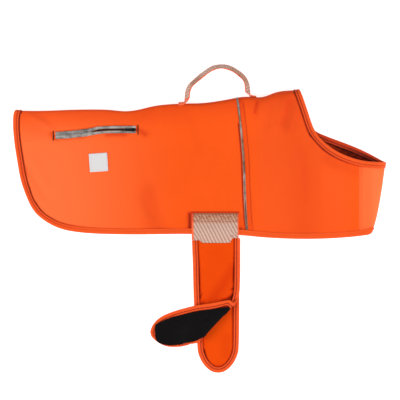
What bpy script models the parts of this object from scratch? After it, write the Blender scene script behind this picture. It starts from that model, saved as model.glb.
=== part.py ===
"""Dog jacket in bonded soft shell, laid flat on its side.

The body is one tube of cloth that lies in two layers: an upper side and, folded over the spine
and round the chest, an under side that rests on the surface. X runs from the tail to the chest,
Y from the belly to the spine, Z up out of the surface. Every table is in millimetres.
"""

import math

import bpy
import numpy as np

MM = 0.001
CENTRE = (1.0, 0.4, 0.0)  # the middle of the whole in the tables' frame, mm

# Cloth and trim, mm
SHELL = 2.0  # bonded soft shell
TAPE, TAPE_GAP = 1.0, 0.4  # one layer of binding tape, and what parts it from the cloth
SEAM = 0.3  # what parts two sewn pieces
EDGE_GAP = 0.8  # from a cut edge to the fold of its binding
BINDING = 10.0  # width of a binding on each face of the cloth
UNDER_STEP = 3.5  # the under side lies this far inside the upper one
LEAST_STEP = 1.2  # nodes of an edge closer together than this make one section of its binding
LEAST_SINE = 0.6  # of the angle between a binding's legs and its edge
PIPING_WIDTH = 3.2
PIPING_PROUD = 0.6
LAY_GAP = 0.4  # under a label or a zip that lies on the cloth

# How high the upper side lies, mm
FLAT_HEIGHT = 7.0
HEM_RISE, HEM_REACH = 1.6, 45.0  # the bound hems lie on each other
SPINE_REACH = 85.0
NECK_RISE, NECK_REACH = 23.0, 75.0  # the neck opening gapes
CHEST_RISE, CHEST_REACH = 5.0, 55.0  # the cloth bulges where it folds round the chest
WEBBING_THICK = 1.5
WEBBING_RISE = WEBBING_THICK + SEAM  # the cloth climbs over the webbing under it
BEND_SHARE = 0.9  # depth of a fold in plan, as a share of half its height
BEND_POWER = 2.5  # a fold's section is this super-ellipse
BEND_ANGLES = np.radians((67.0, 45.0, 22.0, 0.0, -22.0, -45.0, -67.0))
STEADY = 3.0  # steepest slope of a steady curve, in slopes of its flatter neighbouring span

# The finished hem of the upper side, from the spine at the tail round to the chest
HEM = (  # x, y
    (-328.0, 195.0),
    (-332.3, 189.0),
    (-333.4, 177.0),
    (-332.5, 150.0),
    (-325.0, 96.0),
    (-320.0, 69.0),
    (-313.0, 47.5),
    (-304.0, 26.0),
    (-289.0, 5.0),
    (-273.5, -6.5),
    (-250.0, -18.0),
    (-228.5, -23.0),
    (-196.0, -26.5),
    (-142.0, -28.3),
    (-12.0, -27.8),
    (74.0, -29.7),
    (110.0, -33.3),
    (263.0, -33.7),
    (290.0, -31.0),
    (304.0, -28.4),
    (311.0, -25.5),
)
HEM_CORNER_Y = 15.0  # where the tail's curve ends and the belly's edge begins
TAIL_SQUARE = (1.0, 1.0, 0.7, 0.35)  # how square to the edge the binding is, node by node from there

SPINE = (  # x, y of the fold along the back
    (-326.8, 194.0),
    (-304.0, 193.5),
    (-200.0, 196.0),
    (-160.0, 195.5),
    (-133.0, 192.4),
    (-110.0, 195.0),
    (-86.0, 201.5),
    (-34.0, 206.5),
    (9.0, 207.5),
    (41.0, 212.0),
    (84.0, 219.0),
    (113.0, 217.8),
    (140.0, 227.5),
    (177.5, 230.5),
)

SPINE_HEIGHT = (  # x, rise of the cloth at the spine above its flat height
    (-327.0, 6.8),
    (-200.0, 8.5),
    (-30.0, 11.0),
    (84.0, 13.0),
    (178.0, 2.0),
)

NECK = (  # x, y of the finished neck edge, upper side, from the spine to the chest
    (180.0, 230.6),
    (188.0, 209.7),
    (198.7, 177.3),
    (205.6, 158.2),
    (209.5, 150.8),
    (216.7, 142.4),
    (227.2, 133.0),
    (241.0, 122.4),
    (255.6, 115.0),
    (271.6, 108.7),
    (287.5, 104.4),
    (308.5, 101.7),
    (335.0, 100.2),
)
NECK_BEND_X = 209.5

UNDER_NECK = (  # x, y of the finished neck edge, under side
    (180.0, 230.6),
    (185.0, 209.0),
    (193.0, 182.0),
    (204.5, 159.5),
    (232.6, 146.7),
    (287.5, 125.5),
    (320.0, 109.2),
    (335.0, 101.0),
)
UNDER_NECK_BEND_X = 204.5

PIPING = (  # x, y of the seam between back and front, from the hem to the spine
    (87.0, -25.0),
    (84.6, 0.2),
    (81.9, 50.8),
    (79.4, 113.9),
    (74.3, 166.9),
    (68.0, 215.5),
)
CHEST_SEAM = ((287.3, -31.0), (285.5, 103.0))  # x, y at the hem and at the neck
CHEST_FOLD = (  # x, y of the fold round the chest, from the hem to the neck
    (309.6, -23.5),
    (313.5, -17.0),
    (318.5, 0.0),
    (325.0, 33.0),
    (334.0, 98.8),
)

# Where the grids have their rows, as shares of the way from the hem to the spine. The first
# row is the inner edge of the binding, and the row at the bend of the neck edge is counted.
UPPER_ROWS = (0, 0.05, 0.12, 0.2, 0.28, 0.36, 0.44, 0.52, 0.6, 0.67, 0.72, 0.78, 0.85, 0.925, 1)
UNDER_ROWS = (0, 0.05, 0.13, 0.24, 0.36, 0.48, 0.6, 0.67, 0.72, 0.8, 0.9, 1)
UPPER_BEND_ROW = 10
UNDER_BEND_ROW = 8
BACK_COLUMNS = 24
FRONT_COLUMNS = 10
SHOULDER_COLUMNS = 5
CHEST_COLUMNS = 3
CHEST_ROWS = (0, 0.08, 0.17, 0.27, 0.38, 0.5, 0.62, 0.73, 0.83, 0.92, 1)

FOLDS = (  # from x, y, to x, y, half width, height of each soft ridge or trough
    (-134.0, 200.0, -118.0, 148.0, 17.0, -1.3),
    (-300.0, 184.0, -262.0, 150.0, 15.0, -0.9),
    (113.0, 222.0, 104.0, 150.0, 15.0, -1.7),
    (140.0, 226.0, 128.0, 160.0, 16.0, 1.2),
    (97.0, 205.0, 96.0, 80.0, 12.0, 0.8),
    (15.0, 0.0, -30.0, 90.0, 22.0, -1.0),
    (-60.0, 60.0, 40.0, 150.0, 30.0, 0.9),
    (232.0, 100.0, 244.0, -15.0, 24.0, 1.4),
    (-250.0, 20.0, -200.0, 80.0, 28.0, 0.8),
)

# Pocket zip
ZIP_LINE = (  # x, y of its middle
    (-257.4, 148.9),
    (-228.6, 151.0),
    (-207.0, 153.4),
    (-192.6, 155.7),
    (-178.2, 158.6),
    (-160.2, 159.5),
    (-142.2, 159.6),
    (-113.4, 159.6),
)
ZIP_HALF = 6.3
COIL_HALF = 0.8
ZIP_THICK = 1.0
SLIDER_X = -118.5
SLIDER_LENGTH, SLIDER_WIDTH, SLIDER_THICK = 8.6, 6.2, 1.6
BRIDGE_LENGTH, BRIDGE_WIDTH, BRIDGE_HOLE, BRIDGE_BAR = 6.0, 1.2, 2.0, 1.0
TAB_LENGTH, TAB_WIDTH, TAB_THICK = 13.5, 4.8, 1.0
TAB_EYE_LENGTH, TAB_ARM = 3.4, 1.1

LABEL_CENTRE = (-180.5, 100.8)
LABEL_SIZE, LABEL_TURN, LABEL_THICK = 33.0, 4.0, 1.0

# Carry handle: a webbing stood on edge that leans in at its top
HANDLE_WIDTH, HANDLE_THICK, HANDLE_LEAN = 18.0, 1.8, 26.0
HANDLE_MIDDLE_Z = 9.0
HANDLE_GAP = 0.8
HANDLE_LINE = (  # x, y of its outer, lower edge, from the left foot to the right one
    (-26.0, 214.0),
    (-24.5, 231.0),
    (-19.0, 242.0),
    (-7.2, 252.9),
    (7.2, 264.6),
    (21.6, 274.0),
    (41.4, 278.1),
    (57.6, 274.5),
    (75.6, 263.7),
    (86.4, 252.9),
    (90.8, 242.0),
    (92.0, 227.0),
)
HANDLE_FEET = (-26.0, 92.0)  # x where each end turns onto the spine
HANDLE_TAB = 11.0  # how far each end runs on along the spine

# Straps and their webbings
NEAR_WEBBING = (-13.0, 71.0)  # x of its edges
FAR_WEBBING = (-3.0, 71.0)
WEBBING_TOP_Y = 9.4
NEAR_WEBBING_ROWS = (  # y, height over the cloth, share of the way down to the strap
    (9.4, 0.3, 0.0),
    (-2.0, 0.3, 0.0),
    (-10.0, 0.3, 0.0),
    (-16.5, 1.6, 0.0),
    (-24.0, 1.7, 0.0),
    (-31.0, 1.7, 0.0),
    (-35.0, 1.7, 0.4),
    (-39.0, 1.7, 0.85),
    (-42.3, 1.7, 1.0),
)
NEAR_STRAP_TOP_Z = 8.2
FAR_WEBBING_ROWS = (  # y, height of its underside
    (9.4, 0.0),
    (-10.0, 0.0),
    (-29.5, 0.0),
    (-36.0, 0.9),
    (-42.3, 1.55),
)
HOOK_THICK, HOOK_GAP = 1.2, 0.55
HOOK_INSET = 1.4  # from the inner edge of the binding to the hook tape

NEAR_STRAP = (  # right edge x, y, z, left edge x, y, z, curl of the section, steps to the next row
    (73.8, -42.6, 8.2, -12.6, -42.6, 8.2, 0.0, 3),
    (73.8, -78.3, 7.8, -10.8, -81.9, 7.8, 0.0, 2),
    (72.9, -125.1, 7.8, -8.1, -168.3, 7.8, 0.0, 2),
    (68.9, -141.8, 7.8, -4.0, -209.7, 7.8, 0.0, 2),
    (65.9, -148.1, 9.2, -2.2, -215.1, 9.2, 0.0, 2),
    (62.6, -152.6, 12.6, -1.4, -218.3, 12.4, 0.0, 2),
    (59.9, -149.9, 16.2, -3.2, -220.9, 15.6, 0.0, 2),
    (55.4, -146.5, 17.6, -6.3, -221.9, 16.0, 0.08, 7),
    (23.4, -152.1, 17.0, -15.3, -224.6, 10.0, 0.42, 4),
    (-5.4, -156.2, 16.0, -21.6, -226.8, 5.4, 0.8, 3),
    (-25.2, -161.1, 14.0, -27.0, -228.1, 3.6, 1.0, 3),
    (-43.2, -166.1, 12.5, -33.3, -229.5, 3.2, 0.7, 3),
    (-68.6, -176.9, 9.9, -53.1, -230.4, 3.2, 0.12, 2),
    (-82.4, -190.8, 7.0, -73.8, -221.8, 3.1, 0.0, 2),
    (-86.0, -201.6, 5.0, -83.5, -212.4, 3.7, 0.0, 0),
)
CURL_START, CURL_SWEEP, CURL_POWER = -15.0, 95.0, 3.0  # slope of a curled section, degrees
STRAP_ACROSS = np.array((0, 0.168, 0.3, 0.43, 0.57, 0.7, 0.832, 1))
NEAR_FLAT_ROWS = 3  # rows at the tip where the binding's legs are square to the edge
HOOK_START = 0.26  # share of the strap's length where the hook tape begins
HOOK_END = 0.92

FAR_STRAP_LEVEL = 2.4
FAR_STRAP_MIDDLE_X, FAR_STRAP_HALF = 34.3, 38.0
FAR_STRAP_TOP_Y, FAR_STRAP_ROUND_Y, FAR_STRAP_END_Y = -42.6, -228.0, -278.0
FAR_STRAP_POWER = 1.85
FAR_STRAP_ROWS = 6
LOOP_TOP_Y = -110.0  # where the loop tape begins
FAR_ROUND_ANGLES = np.radians((0.0, 18.0, 36.0, 53.0, 68.0, 80.0))

COLOURS = {  # sRGB colour, roughness, metallic
    "soft_shell": ((250, 97, 34), 0.85, 0.0),
    "chest_shell": ((252, 105, 50), 0.85, 0.0),
    "binding_tape": ((244, 105, 50), 0.7, 0.0),
    "strap_shell": ((244, 81, 14), 0.85, 0.0),
    "reflective_tape": ((151, 130, 123), 0.45, 0.3),
    "zip_coil": ((52, 48, 46), 0.5, 0.0),
    "gunmetal": ((40, 38, 40), 0.35, 0.9),
    "striped_webbing": ((226, 201, 189), 0.6, 0.0),
    "hook_tape": ((23, 21, 22), 0.95, 0.0),
    "loop_tape": ((28, 26, 27), 0.95, 0.0),
    "woven_patch": ((232, 228, 224), 0.8, 0.0),
}


# ---------------------------------------------------------------- curves and heights


def spline(at, values, steady=False):
    """A smooth function through the values given at the places `at`.

    A steady one never swings past the values beside it.
    """
    at = np.asarray(at, float)
    values = np.asarray(values, float)
    slopes = np.gradient(values, at, axis=0)
    if steady:
        rates = np.diff(values, axis=0) / np.diff(at)[:, None]
        before, after = rates[:-1], rates[1:]
        most = STEADY * np.minimum(abs(before), abs(after)) * (before * after > 0)
        slopes[1:-1] = np.clip(slopes[1:-1], -most, most)

    def read(place):
        place = np.clip(place, at[0], at[-1])
        left = np.clip(np.searchsorted(at, place, side="right") - 1, 0, len(at) - 2)
        span = at[left + 1] - at[left]
        t = (place - at[left]) / span
        if values.ndim > 1:
            t, span = t[..., None], span[..., None]
        start, end = values[left], values[left + 1]
        rise = (3 - 2 * t) * t * t
        pull = t * (1 - t) * ((1 - t) * slopes[left] - t * slopes[left + 1]) * span
        return start + (end - start) * rise + pull

    return read


def curve(points):
    """A smooth line through the points, read by the share of its length."""
    points = np.asarray(points, float)
    steps = np.linalg.norm(np.diff(points[:, :2], axis=0), axis=1)
    return spline(np.concatenate([[0.0], np.cumsum(steps)]) / steps.sum(), points)


def inset(line, amount):
    """The same line moved to the left of its direction by an amount."""

    def read(share):
        step = 1e-4
        along = line(np.clip(share + step, 0, 1)) - line(np.clip(share - step, 0, 1))
        along /= np.linalg.norm(along, axis=-1, keepdims=True)
        return line(share) + amount * np.stack([-along[..., 1], along[..., 0]], axis=-1)

    return read


def share_at(line, axis, value, first=0.0, last=1.0):
    """The share of a line's length where its x (axis 0) or y (axis 1) has a value."""
    shares = np.linspace(first, last, 600)
    places = line(shares)[:, axis]
    order = np.argsort(places)
    return float(np.interp(value, places[order], shares[order]))


def distance(places, line):
    """The plan distance of each place from a chain of points."""
    flat = places.reshape(-1, 1, 2)
    start, step = line[:-1], np.diff(line, axis=0)
    t = ((flat - start) * step).sum(-1) / (step * step).sum(-1)
    nearest = start + np.clip(t, 0, 1)[..., None] * step
    return np.linalg.norm(flat - nearest, axis=-1).min(axis=1).reshape(places.shape[:-1])


def fade(t):
    """One at 0, falling smoothly to nothing at 1."""
    return 0.5 + 0.5 * np.cos(np.pi * np.clip(t, 0, 1))


def shelf(value, low, high, ramp):
    """One between two values, with a smooth ramp beyond each."""
    return fade((low - value) / ramp) * fade((value - high) / ramp)


EDGE = TAPE + EDGE_GAP
hem_line = inset(curve(HEM), EDGE)
under_hem_line = inset(curve(HEM), EDGE + UNDER_STEP)
neck_line = inset(curve(NECK), -EDGE)
under_neck_line = inset(curve(UNDER_NECK), -EDGE)
spine_line = curve(SPINE)
piping_line = curve(PIPING)
chest_fold_line = curve(CHEST_FOLD)
spine_rise = spline([row[0] for row in SPINE_HEIGHT], [row[1] for row in SPINE_HEIGHT])
DENSE = np.linspace(0, 1, 90)
HEM_CHAIN, UNDER_HEM_CHAIN = hem_line(DENSE), under_hem_line(DENSE)
NECK_CHAIN, UNDER_NECK_CHAIN = neck_line(DENSE), under_neck_line(DENSE)
SPINE_CHAIN = spine_line(DENSE)
CHEST_CHAIN = chest_fold_line(DENSE)


def over_webbing(places):
    """How far the cloth climbs over the webbing that lies under the far hem."""
    across = shelf(places[..., 0], FAR_WEBBING[0] - 4, FAR_WEBBING[1] + 4, 22.0)
    return WEBBING_RISE * across * shelf(places[..., 1], -99.0, WEBBING_TOP_Y + 4, 24.0)


def upper_height(places):
    """Height of the outer face of the upper side."""
    height = FLAT_HEIGHT + over_webbing(places)
    height = height + HEM_RISE * fade(distance(places, HEM_CHAIN) / HEM_REACH)
    height += spine_rise(places[..., 0]) * fade(distance(places, SPINE_CHAIN) / SPINE_REACH)
    height += NECK_RISE * np.exp(-((distance(places, NECK_CHAIN) / NECK_REACH) ** 2))
    height += CHEST_RISE * fade(distance(places, CHEST_CHAIN) / CHEST_REACH)
    for x0, y0, x1, y1, half, rise in FOLDS:
        off = distance(places, np.array([(x0, y0), (x1, y1)]))
        height += rise * np.exp(-((off / half) ** 2))
    return height


def under_height(places):
    """Height of the outer face of the under side: flat on the surface, but for its bound edges."""
    edge = np.minimum(distance(places, UNDER_HEM_CHAIN), distance(places, UNDER_NECK_CHAIN))
    return (TAPE + TAPE_GAP) * fade((edge - BINDING - 4) / 30.0) + over_webbing(places)


# ---------------------------------------------------------------- meshes


def linear(channel):
    value = channel / 255
    return value / 12.92 if value <= 0.04045 else ((value + 0.055) / 1.055) ** 2.4


def material(name):
    found = bpy.data.materials.get(name)
    if found:
        return found
    colour, roughness, metallic = COLOURS[name]
    made = bpy.data.materials.new(name)
    made.use_nodes = True
    shader = made.node_tree.nodes["Principled BSDF"]
    shader.inputs["Base Color"].default_value = (*(linear(c) for c in colour), 1.0)
    shader.inputs["Roughness"].default_value = roughness
    shader.inputs["Metallic"].default_value = metallic
    return made


def volume(points, faces):
    total = 0.0
    for face in faces:
        for i in range(1, len(face) - 1):
            a, b, c = points[face[0]], points[face[i]], points[face[i + 1]]
            total += float(np.dot(a, np.cross(b, c)))
    return total


def add_object(name, points, faces, look, location=(0, 0, 0)):
    """A mesh object from points in the tables' frame, its faces turned outwards."""
    points = np.asarray(points, float)
    if volume(points - points.mean(axis=0), faces) < 0:
        faces = [face[::-1] for face in faces]
    mesh = bpy.data.meshes.new(name)
    mesh.from_pydata((points * MM).tolist(), [], [tuple(map(int, face)) for face in faces])
    mesh.materials.append(material(look))
    mesh.shade_smooth()
    mesh.set_sharp_from_angle(angle=math.radians(50))
    made = bpy.data.objects.new(name, mesh)
    made.location = [(value - centre) * MM for value, centre in zip(location, CENTRE)]
    bpy.context.collection.objects.link(made)
    return made


class Cloth:
    """A wall of cloth: outer and inner points in pairs, knitted by quads."""

    def __init__(self):
        self.outer = np.empty((0, 3))
        self.inner = np.empty((0, 3))
        self.quads = []

    def add(self, outer, inner):
        """Adds a grid of point pairs and returns their numbers in the same grid."""
        first = len(self.outer)
        self.outer = np.vstack([self.outer, outer.reshape(-1, 3)])
        self.inner = np.vstack([self.inner, inner.reshape(-1, 3)])
        return first + np.arange(outer.reshape(-1, 3).shape[0]).reshape(outer.shape[:-1])

    def knit(self, grid):
        for i in range(grid.shape[0] - 1):
            for j in range(grid.shape[1] - 1):
                self.quads.append(
                    (grid[i, j], grid[i + 1, j], grid[i + 1, j + 1], grid[i, j + 1])
                )

    def build(self, name, look, location=(0, 0, 0)):
        count = len(self.outer)
        faces = [tuple(quad) for quad in self.quads]
        faces += [tuple(number + count for number in reversed(quad)) for quad in self.quads]
        edges = {(quad[k], quad[(k + 1) % 4]) for quad in self.quads for k in range(4)}
        for a, b in sorted(edges):
            if (b, a) not in edges:
                faces.append((b, a, a + count, b + count))
        return add_object(name, np.vstack([self.outer, self.inner]), faces, look, location)


def build_grid(name, outer, inner, look):
    """A wall of cloth over one grid."""
    cloth = Cloth()
    cloth.knit(cloth.add(outer, inner))
    return cloth.build(name, look)


def sweep(name, sections, look, closed):
    """A solid through rings of points."""
    stations, sides = sections.shape[:2]
    faces = []
    for i in range(stations if closed else stations - 1):
        here, there = i * sides, (i + 1) % stations * sides
        for k in range(sides):
            after = (k + 1) % sides
            faces.append((here + k, here + after, there + after, there + k))
    if not closed:
        faces.append(tuple(reversed(range(sides))))
        faces.append(tuple((stations - 1) * sides + k for k in range(sides)))
    return add_object(name, sections.reshape(-1, 3), faces, look)


# ---------------------------------------------------------------- binding


class Edge:
    """Places along a cut edge, each with the cloth's two faces and a point further in."""

    def __init__(self):
        self.rows = []

    def follow(self, cloth, edge, beside, square=0.0):
        """Adds nodes of a cloth. `beside` are their neighbours further in, which the tape's legs
        run towards. Where `square` is 1, as on a flat end, they are square to the edge instead."""
        for at, near, flat in zip(edge, beside, np.broadcast_to(square, len(edge))):
            middle = 0.5 * (cloth.outer[at] + cloth.inner[at])
            inside = 0.5 * (cloth.outer[near] + cloth.inner[near])
            face = cloth.outer[at] - cloth.inner[at]
            if not self.rows or np.linalg.norm(middle - self.rows[-1][0]) > LEAST_STEP:
                self.rows.append((middle, inside, face, [flat]))

    def bind(self, name, look, closed):
        """Tape folded round the edge: a C in section, clear of the cloth all round."""
        middle, inside, face, flat = (np.array(part) for part in zip(*self.rows))
        if closed and np.linalg.norm(middle[0] - middle[-1]) < LEAST_STEP:
            middle, inside, face, flat = middle[:-1], inside[:-1], face[:-1], flat[:-1]
        after = unit(np.roll(middle, -1, axis=0) - middle)
        before = np.roll(after, 1, axis=0)
        if not closed:
            before[0], after[-1] = after[0], before[-1]
        along, inward, face = unit(before + after), unit(inside - middle), unit(face)
        level = unit(np.cross(face, along))
        level *= np.sign((level * inward).sum(-1, keepdims=True))
        level /= (along * after).sum(-1, keepdims=True)
        out = np.cross(along, inward)
        sine = np.linalg.norm(out, axis=-1, keepdims=True)
        out *= np.sign((out * face).sum(-1, keepdims=True)) / sine
        inward = inward / np.maximum(sine, LEAST_SINE)
        inward += flat * (level - inward)
        out += flat * (face - out)
        bed = 0.5 * SHELL + TAPE_GAP
        reach = BINDING - EDGE
        section = (
            (reach, bed + TAPE),
            (-EDGE, bed + TAPE),
            (-EDGE, -bed - TAPE),
            (reach, -bed - TAPE),
            (reach, -bed),
            (-EDGE_GAP, -bed),
            (-EDGE_GAP, bed),
            (reach, bed),
        )
        rings = np.stack([middle + a * inward + b * out for a, b in section], axis=1)
        return sweep(name, rings, look, closed)


def unit(vectors):
    return vectors / np.linalg.norm(vectors, axis=-1, keepdims=True)


# ---------------------------------------------------------------- body


def patch(bottom, top, left, right, columns, rows):
    """Plan points between four edges, columns first. Columns and rows lie at shares of the sides."""
    across = np.asarray(columns, float)[:, None, None]
    up = np.asarray(rows, float)[None, :, None]
    corners = (1 - across) * ((1 - up) * bottom[0] + up * top[0])
    corners = corners + across * ((1 - up) * bottom[-1] + up * top[-1])
    sides = (1 - across) * left[None] + across * right[None]
    ends = (1 - up) * bottom[:, None] + up * top[:, None]
    return sides + ends - corners


def fitted(points, start, end, rows):
    """Points at shares of a line, moved so that they begin and end at two places."""
    t = np.asarray(rows, float)[:, None]
    return points + (1 - t) * (start - points[0]) + t * (end - points[-1])


def lift(places, height):
    return np.concatenate([places, height[..., None]], axis=-1)


def bend(upper, fold, under, top, bottom, depth):
    """Points round a fold, `depth` inside its outer face, from the upper side to the under one."""
    rows = []
    for angle in BEND_ANGLES:
        side = upper if angle > 0 else under if angle < 0 else 0.5 * (upper + under)
        reach = side - fold
        share = depth / np.linalg.norm(reach, axis=-1, keepdims=True)
        across = 1 - math.cos(angle) ** (2 / BEND_POWER)
        plan = fold + reach * (share + (1 - share) * across)
        swing = math.copysign(abs(math.sin(angle)) ** (2 / BEND_POWER), angle)
        half = 0.5 * (top - bottom) - depth
        rows.append(lift(plan, 0.5 * (top + bottom) + swing * half))
    return np.stack(rows, axis=1)


def folded(upper, fold, under):
    """Outer and inner points of cloth that runs up, round a fold and back underneath.

    `upper` ends and `under` begins where the bend does.
    """
    top, bottom = upper_height(upper[:, -1]), under_height(under[:, 0])
    faces = []
    for depth in (0.0, SHELL):
        over = lift(upper, upper_height(upper) - depth)
        round_fold = bend(upper[:, -1], fold, under[:, 0], top, bottom, depth)
        beneath = lift(under, under_height(under) + depth)
        faces.append(np.concatenate([over, round_fold, beneath], axis=1))
    return faces


def bend_depth(places):
    """How far a fold at these places reaches into the plan."""
    return BEND_SHARE * 0.5 * upper_height(places)


def spine_starts(shares, first=None, last=None):
    """Where the bend over the spine starts, below the fold at each share of the spine.

    A place given for the first or last column draws the columns beside it along.
    """
    fold = spine_line(shares)
    along = unit(spine_line(shares + 0.01) - spine_line(shares - 0.01))
    starts = fold + bend_depth(fold)[:, None] * np.stack([along[:, 1], -along[:, 0]], axis=-1)
    number = np.arange(len(fold))[:, None]
    if first is not None:
        starts = starts + np.clip(1 - number / 4, 0, 1) ** 2 * (first - starts[0])
    if last is not None:
        starts = starts + np.clip(1 - number[::-1] / 4, 0, 1) ** 2 * (last - starts[-1])
    return starts


def bend_end(line, fold):
    """The share of an edge where the bend at its first end is over."""
    shares = np.linspace(0, 0.3, 400)
    away = np.linalg.norm(line(shares) - fold, axis=-1)
    return float(shares[np.argmax(away > bend_depth(fold[None])[0])])


SIDES = {  # each side's hem, its rows, the row and x where the neck edge bends, and the neck edge
    "upper": (hem_line, UPPER_ROWS, UPPER_BEND_ROW, NECK_BEND_X, neck_line),
    "under": (under_hem_line, UNDER_ROWS, UNDER_BEND_ROW, UNDER_NECK_BEND_X, under_neck_line),
}
BACK_SHARES = np.concatenate([[0, 0.028, 0.065], np.linspace(0.105, 1, BACK_COLUMNS - 2)])
FRONT_SHARES = np.concatenate([np.linspace(0, 0.92, FRONT_COLUMNS), [1]])
SHOULDER_SHARES = np.linspace(0, 1, SHOULDER_COLUMNS + 1)
SEAM_HALF = 0.5 * PIPING_WIDTH + SEAM
SPINE_AT_PIPING = share_at(spine_line, 0, PIPING[-1][0])
SPINE_SEAM_SHARE = SEAM_HALF / float(np.linalg.norm(np.diff(SPINE_CHAIN, axis=0), axis=1).sum())


def seam_side(side, offset, top):
    """Plan points along the piping's line, moved sideways, from the hem to the bend."""
    hem, rows = SIDES[side][:2]
    line = piping_line(np.asarray(rows, float)) + (offset, 0)
    foot = hem(np.array([share_at(hem, 0, PIPING[0][0] + offset, 0.4, 1.0)]))[0]
    return fitted(line, foot, top, rows)


def back_side(side, shares):
    """Plan points of one side of the back panel, columns from the tail to the seam."""
    hem, rows = SIDES[side][:2]
    corner = share_at(hem, 1, HEM_CORNER_Y, 0.0, 0.4)
    foot = share_at(hem, 0, PIPING[0][0] - SEAM_HALF, 0.4, 1.0)
    tail_top = bend_end(hem, spine_line(shares)[0])
    starts = spine_starts(shares, first=hem(np.array([tail_top]))[0])
    bottom = hem(corner + BACK_SHARES * (foot - corner))
    left = hem(corner + np.asarray(rows) * (tail_top - corner))
    right = seam_side(side, -SEAM_HALF, starts[-1])
    return patch(bottom, starts, left, right, BACK_SHARES, rows)


def front_side(side, shares):
    """Plan points of one side of the front panel: from the seam to the neck edge's bend, and
    from there to the chest seam."""
    hem, rows, bend_row, bend_x, neck = SIDES[side]
    neck_top = bend_end(neck, spine_line(shares)[-1])
    starts = spine_starts(shares, last=neck(np.array([neck_top]))[0])
    turn = share_at(neck, 0, bend_x - EDGE, 0.0, 1.0)
    first = share_at(hem, 0, PIPING[0][0] + SEAM_HALF, 0.4, 1.0)
    middle = share_at(hem, 0, bend_x + 8, 0.4, 1.0)
    last = share_at(hem, 0, CHEST_SEAM[0][0] - 0.5 * SEAM, 0.4, 1.0)
    left = seam_side(side, SEAM_HALF, starts[0])
    low = np.asarray(rows[: bend_row + 1])[:, None] / rows[bend_row]
    foot, knee = hem(np.array([middle]))[0], neck(np.array([turn]))[0]
    upright = foot + low * (knee - foot)
    high = (np.asarray(rows[bend_row + 1 :]) - rows[bend_row]) / (1 - rows[bend_row])
    slope = neck(turn + high * (neck_top - turn))
    bottom = hem(first + FRONT_SHARES * (middle - first))
    main_part = patch(bottom, starts, left, np.vstack([upright, slope]), FRONT_SHARES, rows)
    seam_top = share_at(neck, 0, CHEST_SEAM[1][0] - 0.5 * SEAM, 0.2, 1.0)
    shoulder = patch(
        hem(middle + SHOULDER_SHARES * (last - middle)),
        neck(turn + SHOULDER_SHARES * (seam_top - turn)),
        upright,
        straight(hem(np.array([last]))[0], neck(np.array([seam_top]))[0], low),
        SHOULDER_SHARES,
        low[:, 0],
    )
    return main_part, shoulder


def straight(start, end, shares):
    return start + shares * (end - start)


def make_back():
    shares = BACK_SHARES * (SPINE_AT_PIPING - SPINE_SEAM_SHARE)
    upper, under = back_side("upper", shares), back_side("under", shares)[:, ::-1]
    cloth = Cloth()
    grid = cloth.add(*folded(upper, spine_line(shares), under))
    cloth.knit(grid)
    cloth.build("back_panel", "soft_shell")
    return cloth, grid


def make_front():
    first = SPINE_AT_PIPING + SPINE_SEAM_SHARE
    shares = first + FRONT_SHARES * (1 - first)
    upper, upper_shoulder = front_side("upper", shares)
    under, under_shoulder = front_side("under", shares)
    cloth = Cloth()
    grid = cloth.add(*folded(upper, spine_line(shares), under[:, ::-1]))
    cloth.knit(grid)
    over = upper_shoulder[1:]
    height = upper_height(over)
    near = cloth.add(lift(over, height), lift(over, height - SHELL))
    near = np.vstack([grid[-1:, : UPPER_BEND_ROW + 1], near])
    cloth.knit(near)
    beneath = under_shoulder[1:, ::-1]
    height = under_height(beneath)
    far = cloth.add(lift(beneath, height), lift(beneath, height + SHELL))
    far = np.vstack([grid[-1:, -UNDER_BEND_ROW - 1 :], far])
    cloth.knit(far)
    cloth.build("front_panel", "soft_shell")
    return cloth, grid, near, far


def make_chest():
    """The piece round the chest. Its columns run round the fold and its rows up to the neck."""
    rows = np.asarray(CHEST_ROWS, float)
    fold = chest_fold_line(rows)
    sides = {}
    for side in ("upper", "under"):
        hem, neck = SIDES[side][0], SIDES[side][4]
        depth = bend_depth(fold)
        foot_end = share_at(hem, 0, fold[0][0] - depth[0], 0.6, 1.0)
        top_end = share_at(neck, 0, fold[-1][0] - depth[-1], 0.3, 1.0)
        foot_start = share_at(hem, 0, CHEST_SEAM[0][0] + 0.5 * SEAM, 0.4, 1.0)
        top_start = share_at(neck, 0, CHEST_SEAM[1][0] + 0.5 * SEAM, 0.2, 1.0)
        shares = np.linspace(0, 1, CHEST_COLUMNS + 1)
        bottom = hem(foot_start + shares * (foot_end - foot_start))
        top = neck(top_start + shares * (top_end - top_start))
        left = straight(bottom[0], top[0], rows[:, None])
        right = fitted(fold - np.stack([depth, 0 * depth], axis=-1), bottom[-1], top[-1], rows)
        sides[side] = patch(bottom, top, left, right, shares, rows)
    upper = sides["upper"].transpose(1, 0, 2)
    under = sides["under"].transpose(1, 0, 2)[:, ::-1]
    outer, inner = folded(upper, fold, under)
    cloth = Cloth()
    grid = cloth.add(outer, inner)
    cloth.knit(grid)
    cloth.build("chest_panel", "chest_shell")
    return cloth, grid


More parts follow.
